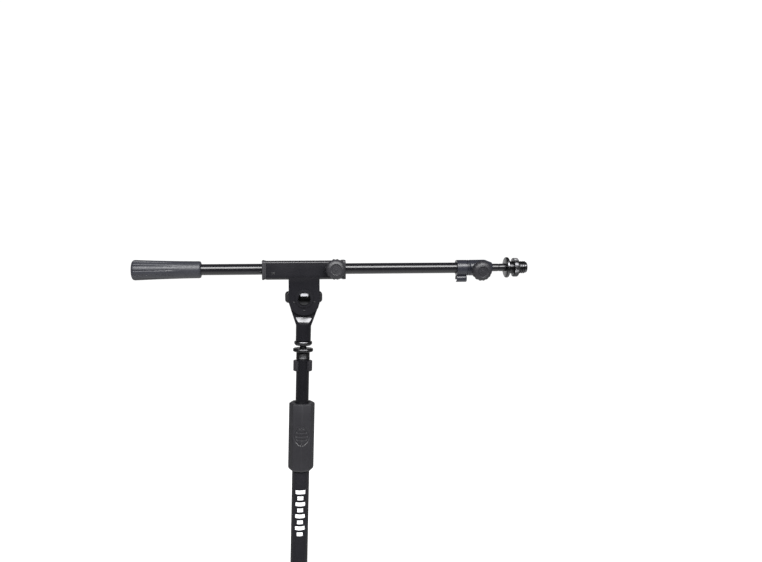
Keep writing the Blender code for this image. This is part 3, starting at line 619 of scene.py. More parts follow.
class STAND_OT_counterweight(bpy.types.Operator):
    """Make the fluted rubber counterweight at the boom's tail"""
    bl_idname = "stand.counterweight"
    bl_label = "Counterweight"

    def execute(self, context):
        sizes = context.scene.stand_sizes
        start, end = -0.2033, -0.1229
        big, neck = sizes.weight_radius, sizes.weight_neck
        flutes, per_flute, rows = 12, 12, 26
        outside = near(big, start, (-2.2, 0.4), (-1, 1.1), (-0.3, 2.2))
        run_start, run_end = start + 0.0036, end - 0.0026
        for row in range(rows + 1):
            share = row / rows
            outside.append((neck + (big - neck) * taper(share),
                            run_start + (run_end - run_start) * share))
        rings = ([(big - 0.0040, start)] + outside
                 + near(neck, end, (-0.2, -1.4), (-0.8, -0.5), (-1.8, 0))
                 + [(BOOM_BORE, end), (BOOM_BORE, -0.1497), (0.0093, -0.1497),
                    (0.0093, start + 0.0027)])
        obj = stacked("fluted_counterweight", flutes * per_flute, rings, AXIS, X, (0, pi / 2, 0))
        profile = {0: 1.0, 1: 0.35}
        for radius, along in outside:
            share = max(0.0, (along - start) / (end - start))
            depth = sizes.flute_depth * max(0.0, 1 - share / 0.74) ** 0.8
            if depth < CLOSE:
                break
            for offset, weight in profile.items():
                self.press(obj, along, radius, flutes, per_flute, offset, depth * weight)
        bpy.ops.object.mode_set(mode="EDIT")
        closed(obj, 40)
        placed(obj, "boom", "graphite_rubber", "counterweight rubber", "counterweight_sleeve")
        return {"FINISHED"}

    @staticmethod
    def press(obj, along, radius, flutes, per_flute, offset, depth):
        """Sinks the vertices of one ring that lie that many places from a flute's middle."""
        def on_flute(place, normal):
            across, height = place.y - AXIS.y, place.z - AXIS.z
            if abs(place.x - along) > CLOSE or hypot(across, height) < radius * 0.9:
                return False
            index = round(atan2(height, across) / (2 * pi) * flutes * per_flute) % per_flute
            return min(index, per_flute - index) == offset
        pick(obj, "verts", on_flute)
        factor = 1 - depth / radius
        resize((1, factor, factor), AXIS + X * along)


class STAND_OT_boom_tubes(bpy.types.Operator):
    """Make the boom tube, its stop pin and the crimped inner rod"""
    bl_idname = "stand.boom_tubes"
    bl_label = "Boom tubes"

    def execute(self, context):
        sizes = context.scene.stand_sizes
        along_boom = {"origin": AXIS, "axis": X, "start": -Y}
        obj = tube("lacquered_boom_tube", sizes.tube_radius, 0.0052, -0.150, 0.214, **along_boom)
        placed(obj, "boom", "gloss_black", "tube lacquer", "boom_tube")
        down_front = Vector((0, -cos(radians(33)), -sin(radians(33))))
        dome = near(0, 0, (0, 6.2), (1.7, 6.2), (1.7, 6.8), (1.5, 7.2), (0.9, 7.6), (0, 7.7))
        obj = turned("domed_stop_pin", dome, AXIS + X * -0.0527, down_front, X, 32)
        placed(obj, "boom", "black_nickel", "bolt black", "stop_pin")
        rod, bore = sizes.rod_radius, 0.0035
        low, high, crimp = -0.120, 0.256, 0.2474
        profile = ([(bore, low), (rod - 0.0002, low), (rod, low + 0.0003)]
                   + near(rod, crimp, (0, -1), (-0.3, -0.5), (-0.4, 0), (-0.3, 0.5), (0, 1))
                   + [(rod, high - 0.0003), (rod - 0.0002, high), (bore, high), (bore, low)])
        obj = turned("crimped_inner_rod", profile, **along_boom)
        placed(obj, "rod", "gloss_black", "tube lacquer", "inner_rod")
        return {"FINISHED"}


def saddle_half(top, bottom, half, top_bend, bottom_bend):
    """Right half of the folded section: (across, height) from the slot's lip to the top."""
    return ([(SLOT_HALF, bottom)]
            + arc((half - bottom_bend, bottom + bottom_bend), bottom_bend, -pi / 2, 0, 10)
            + arc((half - top_bend, top - top_bend), top_bend, 0, pi / 2, 8))


class STAND_OT_saddle(bpy.types.Operator):
    """Fold the sheet saddle with its two ears, screw boss and pressed dimples"""
    bl_idname = "stand.saddle"
    bl_label = "Saddle"

    def execute(self, context):
        outer = saddle_half(SADDLE_TOP, SADDLE_BOTTOM, SADDLE_HALF, TOP_BEND, BOTTOM_BEND)
        inner = saddle_half(SADDLE_TOP - SHEET, SADDLE_BOTTOM + SHEET, SADDLE_HALF - SHEET,
                            TOP_BEND - SHEET, BOTTOM_BEND - SHEET)
        section = (outer + [(-across, height) for across, height in reversed(outer)]
                   + [(-across, height) for across, height in inner] + list(reversed(inner)))
        obj = slab("folded_saddle", across_boom(section, SADDLE_START),
                   X * (SADDLE_END - SADDLE_START))
        front = self.ear("saddle_front_ear", -1)
        rear = copied(front, "saddle_rear_ear", Matrix.Scale(-1, 4, Y))
        bpy.ops.object.mode_set(mode="EDIT")
        closed(rear)
        boss = turned("saddle_screw_boss", near(0, 0, (0, 10), (6.2, 10), (6.2, 13.6), (5.8, 14),
                                                (0, 14)), SADDLE_KNOB, -Y, X)
        combined(obj, "UNION", front, rear, boss)
        combined(obj, "DIFFERENCE", *self.cutters())
        combined(obj, "UNION", *self.lances())
        rounded(obj, 0.0003, 2)
        placed(obj, "saddle", "satin_black", "saddle powder coat", "saddle_bracket")
        return {"FINISHED"}

    @staticmethod
    def ear(name, side):
        """One ear, whose top fold slopes out to meet the saddle's face."""
        top = PIVOT_DROP + SADDLE_BOTTOM
        outline = [(-EAR_HALF, EAR_CORNER)]
        outline += arc((0, 0), EAR_RADIUS, -pi / 2 - EAR_ARC, -pi / 2 + EAR_ARC, 24)
        outline += ([(EAR_HALF, EAR_CORNER)] + near(EAR_HALF, top, (0, -4.2), (0, -1.8), (0, 2.4))
                    + near(-EAR_HALF, top, (0, 2.4), (0, -1.8), (0, -4.2)))
        outside = side * (EAR_INSIDE + SHEET)
        obj = slab(name, upright(outline, outside), Y * -side * SHEET)
        fold = PIVOT.z + top
        pick(obj, "faces", lambda place, normal: abs(normal.y) > 0.9)
        bpy.ops.mesh.bisect(plane_co=(0, 0, fold - 0.0042), plane_no=(0, 0, 1))
        for level, shift in ((0.0018, 0.00065), (-0.0024, 0.00115)):
            pick(obj, "verts", lambda place, normal: place.z > fold - level - 0.0001
                 and abs(place.y - outside) < 0.0008)
            bpy.ops.transform.translate(value=(0, side * shift, 0))
        return closed(obj)

    @staticmethod
    def cutters():
        bolt = pin("bolt_hole", BOLT_RADIUS + 0.0003, -0.02, 0.02, PIVOT, Y, X, 48)
        screw = pin("screw_hole", SCREW_HOLE, 0.004, 0.02, SADDLE_KNOB, -Y, X, 48)
        clear_selection()
        bpy.ops.mesh.primitive_uv_sphere_add(segments=32, ring_count=16, radius=0.0026,
                                             location=AXIS + Vector((-0.037, -0.0112, -0.0052)))
        lance = opened("lance_hollow")
        resize((1.0, 0.30, 0.26), AXIS + Vector((-0.037, -0.0112, -0.0052)))
        closed(lance)
        return [bolt, screw, lance]

    @staticmethod
    def lances():
        """Small tabs pressed out of the front ear and above the hollow on the saddle's face."""
        made = []
        places = [(PIVOT + Vector((-0.0125, -0.0092, -0.0043)), 0.0019, 0.50),
                  (PIVOT + Vector((0.0125, -0.0092, -0.0043)), 0.0019, 0.50),
                  (PIVOT + Vector((0, -0.0092, -0.0146)), 0.0016, 0.60),
                  (AXIS + Vector((-0.037, -0.0109, -0.0042)), 0.0028, 0.26)]
        for number, (place, radius, squat) in enumerate(places):
            clear_selection()
            bpy.ops.mesh.primitive_uv_sphere_add(segments=24, ring_count=12, radius=radius,
                                                 location=place)
            obj = opened(f"lance_{number}")
            resize((1.0, 0.55 if number < 3 else 0.25, squat), place)
            made.append(closed(obj))
        return made


class STAND_OT_end_caps(bpy.types.Operator):
    """Make the two plastic caps that guide the boom tube through the saddle"""
    bl_idname = "stand.end_caps"
    bl_label = "End caps"

    def execute(self, context):
        ends = (("left", -1, SADDLE_START - 0.0003, -0.0506, -0.030),
                ("right", 1, SADDLE_END + 0.0003, 0.0508, 0.030))
        for side, sign, inside, face, sleeve in ends:
            plate = corner_box(-0.0118, 0.0118, -0.0127, 0.0109, 0.0028)
            lip = corner_box(-0.0112, 0.0112, -0.0121, 0.0104, 0.0026)
            groove = inside + (face - inside) * 0.38
            obj = slab(f"{side}_end_cap", across_boom(plate, groove), X * (face - groove))
            rounded(obj, 0.0007, 3)
            inner = slab("cap_lip", across_boom(lip, inside), X * (groove - inside + sign * 0.001))
            low, high = sorted((sleeve, groove))
            guide = pin("cap_sleeve", 0.0084, low, high, AXIS, X, -Y)
            combined(obj, "UNION", inner, guide)
            hole = pin("cap_bore", BOOM_BORE, -0.07, 0.07, AXIS, X, -Y)
            inmost, outmost = face - sign * 0.0006, face + sign * 0.0004
            flare = turned("cap_flare", [(0, inmost), (BOOM_BORE, inmost),
                                         (BOOM_BORE + 0.0010, outmost), (0, outmost)], AXIS, X, -Y)
            combined(obj, "DIFFERENCE", hole, flare)
            closed_again(obj)
            placed(obj, "saddle", "graphite_plastic", "moulded plastic", f"end_bush_{side}")
        return {"FINISHED"}


def make_knob(name, seat, origin, axis, turn, sizes):
    """A scalloped knob standing on its seat, with a full round rim and a dished middle."""
    lobes, per_lobe = 16, 8
    sides = lobes * per_lobe
    radius, dip = sizes.knob_radius, sizes.lobe_depth
    head, top = seat + 0.0022, seat + 0.0117
    side = axis.orthogonal().normalized()
    up = axis.cross(side)

    def scallop(obj, centre, number):
        """Presses the valleys between the lobes into the first ring and back out further up."""
        share = {0: 1.0, 4: -0.3, 5: -0.4, 6: -0.3}.get(number)
        if share is None:
            return
        for offset in range(per_lobe // 2):
            wave = dip * (1 + cos(2 * pi * offset / per_lobe)) / 2

            def in_valley(place, normal):
                arm = place - centre
                if abs(arm.dot(axis)) > CLOSE:
                    return False
                angle = atan2(arm.dot(up), arm.dot(side)) - phase
                index = round(angle / (2 * pi) * sides) % per_lobe
                return min(index, per_lobe - index) == offset
            first = next(v.co - centre for v in bmesh.from_edit_mesh(obj.data).verts)
            phase = atan2(first.dot(up), first.dot(side))
            pick(obj, "verts", in_valley)
            resize(1 - share * wave / radius, centre)
        pick(obj, "verts", lambda place, normal: abs((place - centre).dot(axis)) < CLOSE)

    rings = (near(radius, head, (-1, 0), (-0.3, 0.3), (0, 1))
             + near(radius, top, (0, -5.2), (-0.3, -4), (-1, -2.8), (-2, -1.8), (-3.3, -0.9),
                    (-4.7, -0.3), (-5.8, 0), (-6.2, -0.2), (-6.6, -1)))
    obj = stacked(name, sides, rings, origin, axis, turn, scallop)
    face = turned("knob_face", ([(0, top - 0.0030)] + near(radius, top, (-6.2, -3), (-6.2, -0.9))
                                + near(0, top, (5.2, -1.2), (4.9, -0.6), (4.1, -0.6), (3.8, -1.2),
                                       (2.2, -1), (1.8, -0.5), (0, -0.5))),
                  origin, axis, side)
    stem = turned("knob_stem", (near(0, seat, (0, 0), (6.6, 0), (6.8, 0.2))
                                + near(0, head, (6.8, 1), (0, 1))),
                  origin, axis, side, 64)
    combined(obj, "UNION", face, stem)
    hole = pin("knob_hole", SCREW_HOLE, seat - 0.001, top - 0.0035, origin, axis, side, 32)
    combined(obj, "DIFFERENCE", hole)
    return closed_again(obj, 32)


class STAND_OT_knobs(bpy.types.Operator):
    """Make the three scalloped clamping knobs"""
    bl_idname = "stand.knobs"
    bl_label = "Knobs"

    def execute(self, context):
        sizes = context.scene.stand_sizes
        plastic = "moulded plastic"
        obj = make_knob("saddle_knob", 0.0143, SADDLE_KNOB, -Y, (pi / 2, 0, 0), sizes)
        placed(obj, "boom_clamp", "graphite_plastic", plastic, "boom_knob")
        obj = make_knob("clutch_knob", 0.0133, CLUTCH_KNOB, CLUTCH_FRONT,
                        (pi / 2 + CLUTCH_TURN, 0, 0), sizes)
        placed(obj, "rod_clamp", "graphite_plastic", plastic, "rod_knob")
        obj = make_knob("tripod_knob", 0.0218, Z * LEG_HEIGHT, X, (0, pi / 2, 0), sizes)
        placed(obj, "hub_clamp", "graphite_plastic", plastic, "hub_knob")
        return {"FINISHED"}


class STAND_OT_tilt_hardware(bpy.types.Operator):
    """Make the domed tilt bolt, its washer and the T-handle behind the saddle"""
    bl_idname = "stand.tilt_hardware"
    bl_label = "Tilt hardware"

    def execute(self, context):
        face = EAR_INSIDE + SHEET
        washer = face + 0.0014
        inner = BOLT_RADIUS + 0.0006
        profile = ([(inner, face + 0.0003)] + near(0, face, (10.8, 0.3), (11, 0.5))
                   + [(0.0110, washer - 0.0002), (0.0108, washer), (inner, washer),
                      (inner, face + 0.0003)])
        obj = turned("flat_tilt_washer", profile, PIVOT, -Y, X)
        placed(obj, "saddle", "black_nickel", "saddle powder coat", "tilt_washer")
        head, dome_radius = 0.0074, 0.0135
        rim = acos(head / dome_radius)
        dome = arc((0, washer + 0.0014 - dome_radius * sin(rim)), dome_radius, rim, pi / 2, 16)
        bolt = ([(0, -0.0218)] + near(BOLT_RADIUS, 0, (-0.4, -21.8), (0, -21.4))
                + [(BOLT_RADIUS, washer + 0.0003)] + near(head, washer, (-0.3, 0.3), (0, 0.6))
                + dome[:-1] + [(0, dome[-1][1])])
        obj = turned("domed_tilt_bolt", bolt, PIVOT, -Y, X)
        placed(obj, "saddle", "black_nickel", "bolt black", "tilt_bolt")
        self.handle()
        return {"FINISHED"}

    @staticmethod
    def handle():
        front, back = 0.0128, 0.0250
        bar = corner_box(-0.0232, 0.0232, -0.00725, 0.00725, 0.0045)
        obj = slab("tee_handle", upright(bar, front), Y * (back - front))
        rounded(obj, 0.0022, 4)
        waists = []
        for side in (-1, 1):
            for number, along in enumerate((0.0125, 0.0155, 0.0185)):
                groove = pin(f"handle_groove_{side}_{number}", 0.0009, -0.010, 0.010,
                             PIVOT + Vector((side * along, back + 0.0004, 0)), Z, X, 24)
                waists.append(groove)
        boss = turned("handle_boss", near(0, 0, (0, 9.5), (7.9, 9.5), (8.2, 9.8), (8.2, 15),
                                          (0, 15)), PIVOT, Y, X, 64)
        combined(obj, "UNION", boss)
        bore = turned("handle_bore", near(0, 0, (0, 0), (6.8, 0), (6.8, 17), (4.3, 17),
                                          (4.3, 22.1), (0, 22.1)), PIVOT, Y, X, 48)
        combined(obj, "DIFFERENCE", bore, *waists)
        closed_again(obj)
        placed(obj, "tilt_clamp", "graphite_plastic", "moulded plastic", "tilt_handle")


def clip_outline(ring, bore, hook, hook_bore, drop, slit_at, slit_half):
    """A snap ring with a hook below it, whose mouth points down and back: (across, height)."""
    on_ring = acos((ring ** 2 + drop ** 2 - hook ** 2) / (2 * ring * drop))
    on_hook = acos((hook ** 2 + drop ** 2 - ring ** 2) / (2 * hook * drop))
    below = (0, -drop)
    mouth_top, mouth_bottom = radians(-22), radians(-78)
    points = arc((0, 0), ring, slit_at - slit_half, on_ring - pi / 2, 18)
    points += arc(below, hook, pi / 2 - on_hook, mouth_top, 12)[1:]
    points += arc(below, hook_bore, mouth_top, 2 * pi + mouth_bottom, 28)
    points += arc(below, hook, mouth_bottom, on_hook - 3 * pi / 2, 14)
    points += arc((0, 0), ring, -pi / 2 - on_ring, slit_at + slit_half - 2 * pi, 36)[1:]
    return points + arc((0, 0), bore, slit_at + slit_half - 2 * pi, slit_at - slit_half, 56)


class STAND_OT_clips(bpy.types.Operator):
    """Make the two cable clips, on the boom and on the pole"""
    bl_idname = "stand.clips"
    bl_label = "Cable clips"

    def execute(self, context):
        start, end = 0.1920, 0.2050
        outline = clip_outline(0.0099, BOOM_BORE, 0.0047, 0.0033, 0.0134, 0, 0.10)
        obj = slab("boom_cable_clip", across_boom(outline, start), X * (end - start))
        rounded(obj, 0.0005, 2)
        placed(obj, "boom", "graphite_plastic", "clip plastic", "boom_clip")
        outline = clip_outline(0.0117, 0.0084, 0.0050, 0.0032, 0.0152, pi / 2, radians(38))
        points = [AXIS + Vector((across, -height, CLIP_BOTTOM)) for across, height in outline]
        obj = slab("pole_cable_clip", points, Z * (CLIP_TOP - CLIP_BOTTOM))
        rounded(obj, 0.0006, 2)
        placed(obj, "pole", "graphite_plastic", "moulded plastic", "pole_clip")
        return {"FINISHED"}


class STAND_OT_rod_clutch(bpy.types.Operator):
    """Make the clamp body at the boom tube's end, with its rib and screw boss"""
    bl_idname = "stand.rod_clutch"
    bl_label = "Rod clutch"

    def execute(self, context):
        start, end, radius, bore = 0.2054, 0.2380, 0.0099, BOOM_BORE
        rod_bore, tube_end = context.scene.stand_sizes.rod_radius + 0.0003, 0.2143
        profile = ([(bore, start)]
                   + near(radius, start, (-0.8, 0), (-0.2, 0.3), (0, 1), (0, 1.8), (-0.5, 2.2),
                          (-0.5, 3), (0, 3.4))
                   + near(radius, end, (0.2, -10), (-0.1, -8), (-1.2, -5.5))
                   + [(0.0072, end - 0.0012), (0.0066, end), (rod_bore, end), (rod_bore, tube_end),
                      (bore, tube_end), (bore, start)])
        obj = turned("rod_clutch_body", profile, AXIS, X, -Y)
        boss = turned("clutch_boss", near(0, 0, (0, 7), (7.2, 7), (7.2, 12.7), (6.9, 13), (0, 13)),
                      CLUTCH_KNOB, CLUTCH_FRONT, X, 64)
        rib = slab("clutch_rib", [AXIS + Vector((along, -0.0088, height))
                                  for along, height in self.rib_outline()], Y * -0.0026)
        combined(obj, "UNION", boss, rib)
        hole = pin("clutch_screw_hole", SCREW_HOLE, 0.0030, 0.016, CLUTCH_KNOB, CLUTCH_FRONT, X, 48)
        combined(obj, "DIFFERENCE", hole)
        rounded(obj, 0.0003, 2)
        placed(obj, "boom", "graphite_plastic", "clip plastic", "rod_clutch")
        return {"FINISHED"}

    @staticmethod
    def rib_outline():
        """A hook-shaped rib, as (along, height) points."""
        outer = arc((0.2100, 0.0030), 0.0030, pi, 3 * pi / 2, 8)
        inner = arc((0.2100, 0.0030), 0.0014, 3 * pi / 2, pi, 8)
        return ([(0.2070, 0.0052)] + outer + [(0.2126, 0.0001), (0.2132, 0.0009), (0.2126, 0.0016)]
                + inner + [(0.2086, 0.0052)])


# Head and pole

class STAND_OT_yoke(bpy.types.Operator):
    """Make the yoke: a barrel that flares into a flat tongue through two milled slopes"""
    bl_idname = "stand.yoke"
    bl_label = "Yoke"

    def execute(self, context):
        rings = (near(BARREL_RADIUS, BARREL_BOTTOM, (-0.5, 0), (-0.1, 0.3), (0, 0.8))
                 + [(BARREL_RADIUS, -0.0332), (0.0102, -0.0291), (0.0114, -0.0232),
                    (0.0114, -0.0200)])
        obj = stacked("tongued_yoke", STEPS, rings, PIVOT, Z)
        slope = ([(TONGUE_HALF, -0.0190), (TONGUE_HALF, -0.0232)]
                 + near(0, 0, (7.8, -29.1), (8.1, -31.3), (9, -32.2), (10.1, -32.8), (20, -32.8),
                        (20, -19)))
        cutters = []
        for side in (-1, 1):
            points = [PIVOT + Vector((-0.02, side * across, height)) for across, height in slope]
            cutters.append(slab(f"slope_{side}", points, X * 0.04))
        combined(obj, "DIFFERENCE", *cutters)
        outline = [(-HEAD_RADIUS, TONGUE_SHOULDER), (0.0002 - BARREL_RADIUS, -0.0336),
                   (BARREL_RADIUS - 0.0002, -0.0336), (HEAD_RADIUS, TONGUE_SHOULDER)]
        outline += arc((0, 0), HEAD_RADIUS, 0, pi, 42)
        tongue = slab("yoke_tongue", upright(outline, -TONGUE_HALF), Y * 2 * TONGUE_HALF)
        combined(obj, "UNION", tongue)
        hole = pin("yoke_hole", 0.0043, -0.02, 0.02, PIVOT, Y, X, 48)
        socket = pin("yoke_socket", 0.0050, BARREL_BOTTOM - 0.001, BARREL_BOTTOM + 0.0165,
                     PIVOT, Z, X, 48)
        combined(obj, "DIFFERENCE", hole, socket)
        rounded(obj, 0.00028, 2)
        obj.data.materials.append(finish_of("yoke powder coat"))
        obj.data.materials.append(finish_of("milled face"))
        lowest, highest = PIVOT.z - 0.0293, PIVOT.z - 0.0228
        pick(obj, "faces", lambda place, normal: lowest < place.z < highest
             and abs(normal.y) > 0.88 and 0.25 < normal.z < 0.5)
        obj.active_material_index = 1
        bpy.ops.object.material_slot_assign()
        bpy.ops.object.mode_set(mode="OBJECT")
        placed(obj, "pole", "satin_black", "yoke powder coat", "yoke")
        return {"FINISHED"}


class STAND_OT_pole_top(bpy.types.Operator):
    """Make the threaded stud on the pole and its lock nut"""
    bl_idname = "stand.pole_top"
    bl_label = "Pole stud and lock nut"

    def execute(self, context):
        nut_low, nut_high = -0.0944, -0.0893
        nut = (near(0, nut_low, (5, 0), (9.2, 0), (9.6, 0.3), (10.9, 1.8), (11.1, 2.2))
               + near(0, nut_high, (11.1, -1), (10.7, -0.3), (10.1, 0), (5, 0))
               + [(0.0050, nut_low)])
        obj = turned("chamfered_lock_nut", nut, AXIS)
        placed(obj, "pole_nut", "black_nickel", "black nickel", "pole_lock_nut")
        core, crest, top = 0.0041, 0.0047, -0.0742
        stud = (near(0, 0, (0, -135), (6.4, -135), (6.4, -111.8), (8, -111.8), (8.3, -111.5),
                     (8.6, -110.8), (8.6, -110.3), (8.3, -109.7), (8.3, -102.2), (11.8, -102),
                     (12.4, -101.4), (12.5, -100.8), (12.5, -99.2), (12.2, -98.6), (11.5, -98.2),
                     (4.4, -98.2), (4, -97.8)) + [(core, -0.0950)])
        thread_low, thread_high, pitch = -0.0948, top - 0.0008, 0.00159
        turns = int((thread_high - thread_low) / pitch)
        for turn in range(turns):
            low = thread_low + turn * pitch
            stud += [(crest, low + pitch * 0.45), (crest, low + pitch * 0.55), (core, low + pitch)]
        stud += [(0.0036, top), (0, top)]
        obj = turned("threaded_top_stud", stud, AXIS)
        placed(obj, "pole", "black_nickel", "black nickel", "top_stud")
        return {"FINISHED"}


class STAND_OT_rod_end(bpy.types.Operator):
    """Make the flanged microphone thread at the rod's end and its knurled ring"""
    bl_idname = "stand.rod_end"
    bl_label = "Microphone thread"

    def execute(self, context):
        seat, end = 0.2563, 0.2840
        flange = ([(0, 0.236), (0.0033, 0.236)]
                  + near(0, seat, (3.3, 0), (11.9, 0), (12.7, 0.4), (13.1, 1.1), (13.1, 2.6),
                         (12.7, 3.3), (11.9, 3.7), (9.2, 3.7), (7.2, 4.2), (7, 6))
                  + near(0, end, (7, -1), (6.4, 0), (0, 0)))
        obj = turned("flanged_microphone_thread", flange, AXIS, X, -Y)
        thread = self.thread(seat + 0.0048, end - 0.0012)
        activate(obj)
        thread.select_set(True)
        bpy.ops.object.join()
        placed(obj, "rod", "black_nickel", "black nickel thread", "rod_stud")
        self.ring()
        return {"FINISHED"}

    @staticmethod
    def thread(low, high):
        """The helix, wound by a Screw modifier from a three-sided rib and closed at both ends."""
        pitch = 0.00235
        rib = near(0, low, (6.6, -1.1), (7.9, -0.1), (7.9, 0.1), (6.6, 1.1))
        points = [AXIS + X * along - Y * radius for radius, along in rib]
        obj = drawn("thread_helix", points + points[:1])
        merge_all()
        bpy.ops.object.mode_set(mode="OBJECT")
        moved(obj, Matrix.Translation(-AXIS))
        turns = int((high - low) / pitch)
        modified(obj, "SCREW", axis="X", angle=2 * pi, screw_offset=pitch, iterations=turns,
                 steps=48, render_steps=48, use_merge_vertices=False)
        moved(obj, Matrix.Translation(AXIS))
        bpy.ops.object.mode_set(mode="EDIT")
        merge_all()
        bpy.ops.mesh.fill_holes(sides=6)
        return closed(obj)

    @staticmethod
    def ring():
        """The lock ring, knurled round its edge."""
        start, end, radius, bore = 0.2660, 0.2725, 0.0120, 0.0082
        teeth = 48
        rings = (near(radius, start, (-1.2, 0), (-0.4, 0.4), (0, 1.1))
                 + near(radius, end, (0, -1.1), (-0.4, -0.4), (-1.2, 0)))
        obj = stacked("knurled_lock_ring", teeth * 4, rings, AXIS, X, (0, pi / 2, 0))

        def in_valley(place, normal):
            across, height = place.y - AXIS.y, place.z - AXIS.z
            index = round(atan2(height, across) / (2 * pi) * teeth * 4) % 4
            return index == 0 and hypot(across, height) > radius - 0.0006
        pick(obj, "verts", in_valley)
        resize((1, 0.972, 0.972), AXIS)
        closed_again(obj, 30)
        hole = pin("ring_bore", bore, start - 0.01, end + 0.01, AXIS, X, -Y)
        combined(obj, "DIFFERENCE", hole)
        closed_again(obj, 30)
        placed(obj, "rod_nut", "black_nickel", "black nickel thread", "rod_lock_nut")


class STAND_OT_pole_tubes(bpy.types.Operator):
    """Make the upper and lower pole tubes and the plug at the foot of the pole"""
    bl_idname = "stand.pole_tubes"
    bl_label = "Pole tubes"

    def execute(self, context):
        sizes = context.scene.stand_sizes
        obj = tube("lacquered_upper_tube", sizes.upper_radius, 0.0066, 0.237, AXIS.z - 0.1121)
        placed(obj, "pole", "gloss_black", "tube lacquer", "upper_tube")
        obj = tube("lacquered_lower_tube", sizes.lower_radius, 0.00925, 0.034, 0.830)
        # Its lacquer is made lighter as painted light; the white scale bars are print.
        placed(obj, "base", "gloss_black", "tube lacquer with height marks", "lower_tube")
        cap = near(0, 0, (0, 27), (8.2, 27), (9.6, 27.5), (10.4, 28.6), (10.6, 30), (10.6, 33.4),
                   (10.4, 33.7), (9, 33.7), (9, 50), (0, 50))
        obj = turned("ribbed_tube_plug", cap)
        placed(obj, "base", "nylon", "nylon", "tube_end_cap")
        return {"FINISHED"}


class STAND_OT_grip(bpy.types.Operator):
    """Make the soft eight-sided height grip with its ribbed oval pad"""
    bl_idname = "stand.grip"
    bl_label = "Height grip"

    def execute(self, context):
        sizes = context.scene.stand_sizes
        flats, per_flat = 8, 20
        sides = flats * per_flat
        radius = sizes.grip_radius
        rings = near(radius, GRIP_BOTTOM, (-2.1, 0), (-1.5, 0.2), (-0.5, 1.5), (0, 3))
        pad_low, pad_high, rows = -0.2195, -0.1905, 58
        rings += [(radius, pad_low + (pad_high - pad_low) * row / rows) for row in range(rows + 1)]
        rings += (near(radius, GRIP_TOP, (0, -1.6), (-0.3, -0.7), (-1, -0.1), (-1.8, 0))
                  + near(0, GRIP_TOP, (11.2, 0), (10.4, -0.6), (8.8, -1)))

        def flatten(obj, centre, number):
            """Draws the first ring in between its eight edges, the first of which faces front."""
            if number:
                return
            half_flat = pi / flats
            for offset in range(per_flat // 2 + 1):
                turn = half_flat * (1 - 2 * offset / per_flat)
                share = (1 - cos(half_flat) / cos(turn)) / (1 - cos(half_flat))
                dip = sizes.grip_dip * max(share, 0.12)

                def on_flat(place, normal):
                    angle = atan2(place.y - centre.y, place.x - centre.x)
                    index = round((angle + pi / 2) / (2 * pi) * sides) % per_flat
                    return min(index, per_flat - index) == offset
                pick(obj, "verts", on_flat)
                resize((1 - dip / radius, 1 - dip / radius, 1), centre)
            bpy.ops.mesh.select_all(action="SELECT")

        obj = stacked("eight_sided_grip", sides, rings, AXIS, Z, shape=flatten)
        self.emboss(obj, (pad_low + pad_high) / 2)
        closed_again(obj, 32)
        inside = (near(0, GRIP_BOTTOM, (0, -2), (11.05, -2), (11.05, 4), (13.3, 4))
                  + near(0, GRIP_TOP, (13.3, -4), (8.6, -4), (8.6, 2), (0, 2)))
        hollow = turned("grip_hollow", inside, AXIS)
        combined(obj, "DIFFERENCE", hollow)
        closed_again(obj, 32)
        placed(obj, "grip", "graphite_plastic", "moulded plastic", "grip_shell")
        return {"FINISHED"}

    @staticmethod
    def emboss(obj, middle):
        """Presses an oval groove and, inside it, a row of level grooves into the grip's front."""
        half_wide, half_high = 0.0098, 0.0122

        def spot(place):
            if place.y > -0.006:
                return None
            return place.x / half_wide, (place.z - AXIS.z - middle) / half_high

        def oval(place, normal):
            found = spot(place)
            return bool(found) and 0.86 < hypot(*found) < 1.0

        def groove(place, normal):
            found = spot(place)
            if not found or hypot(*found) > 0.74:
                return False
            return (found[1] * 2.6 + 0.25) % 1.0 < 0.42
        for test in (oval, groove):
            pick(obj, "verts", test)
            resize((0.966, 0.966, 1), AXIS)


# Tripod

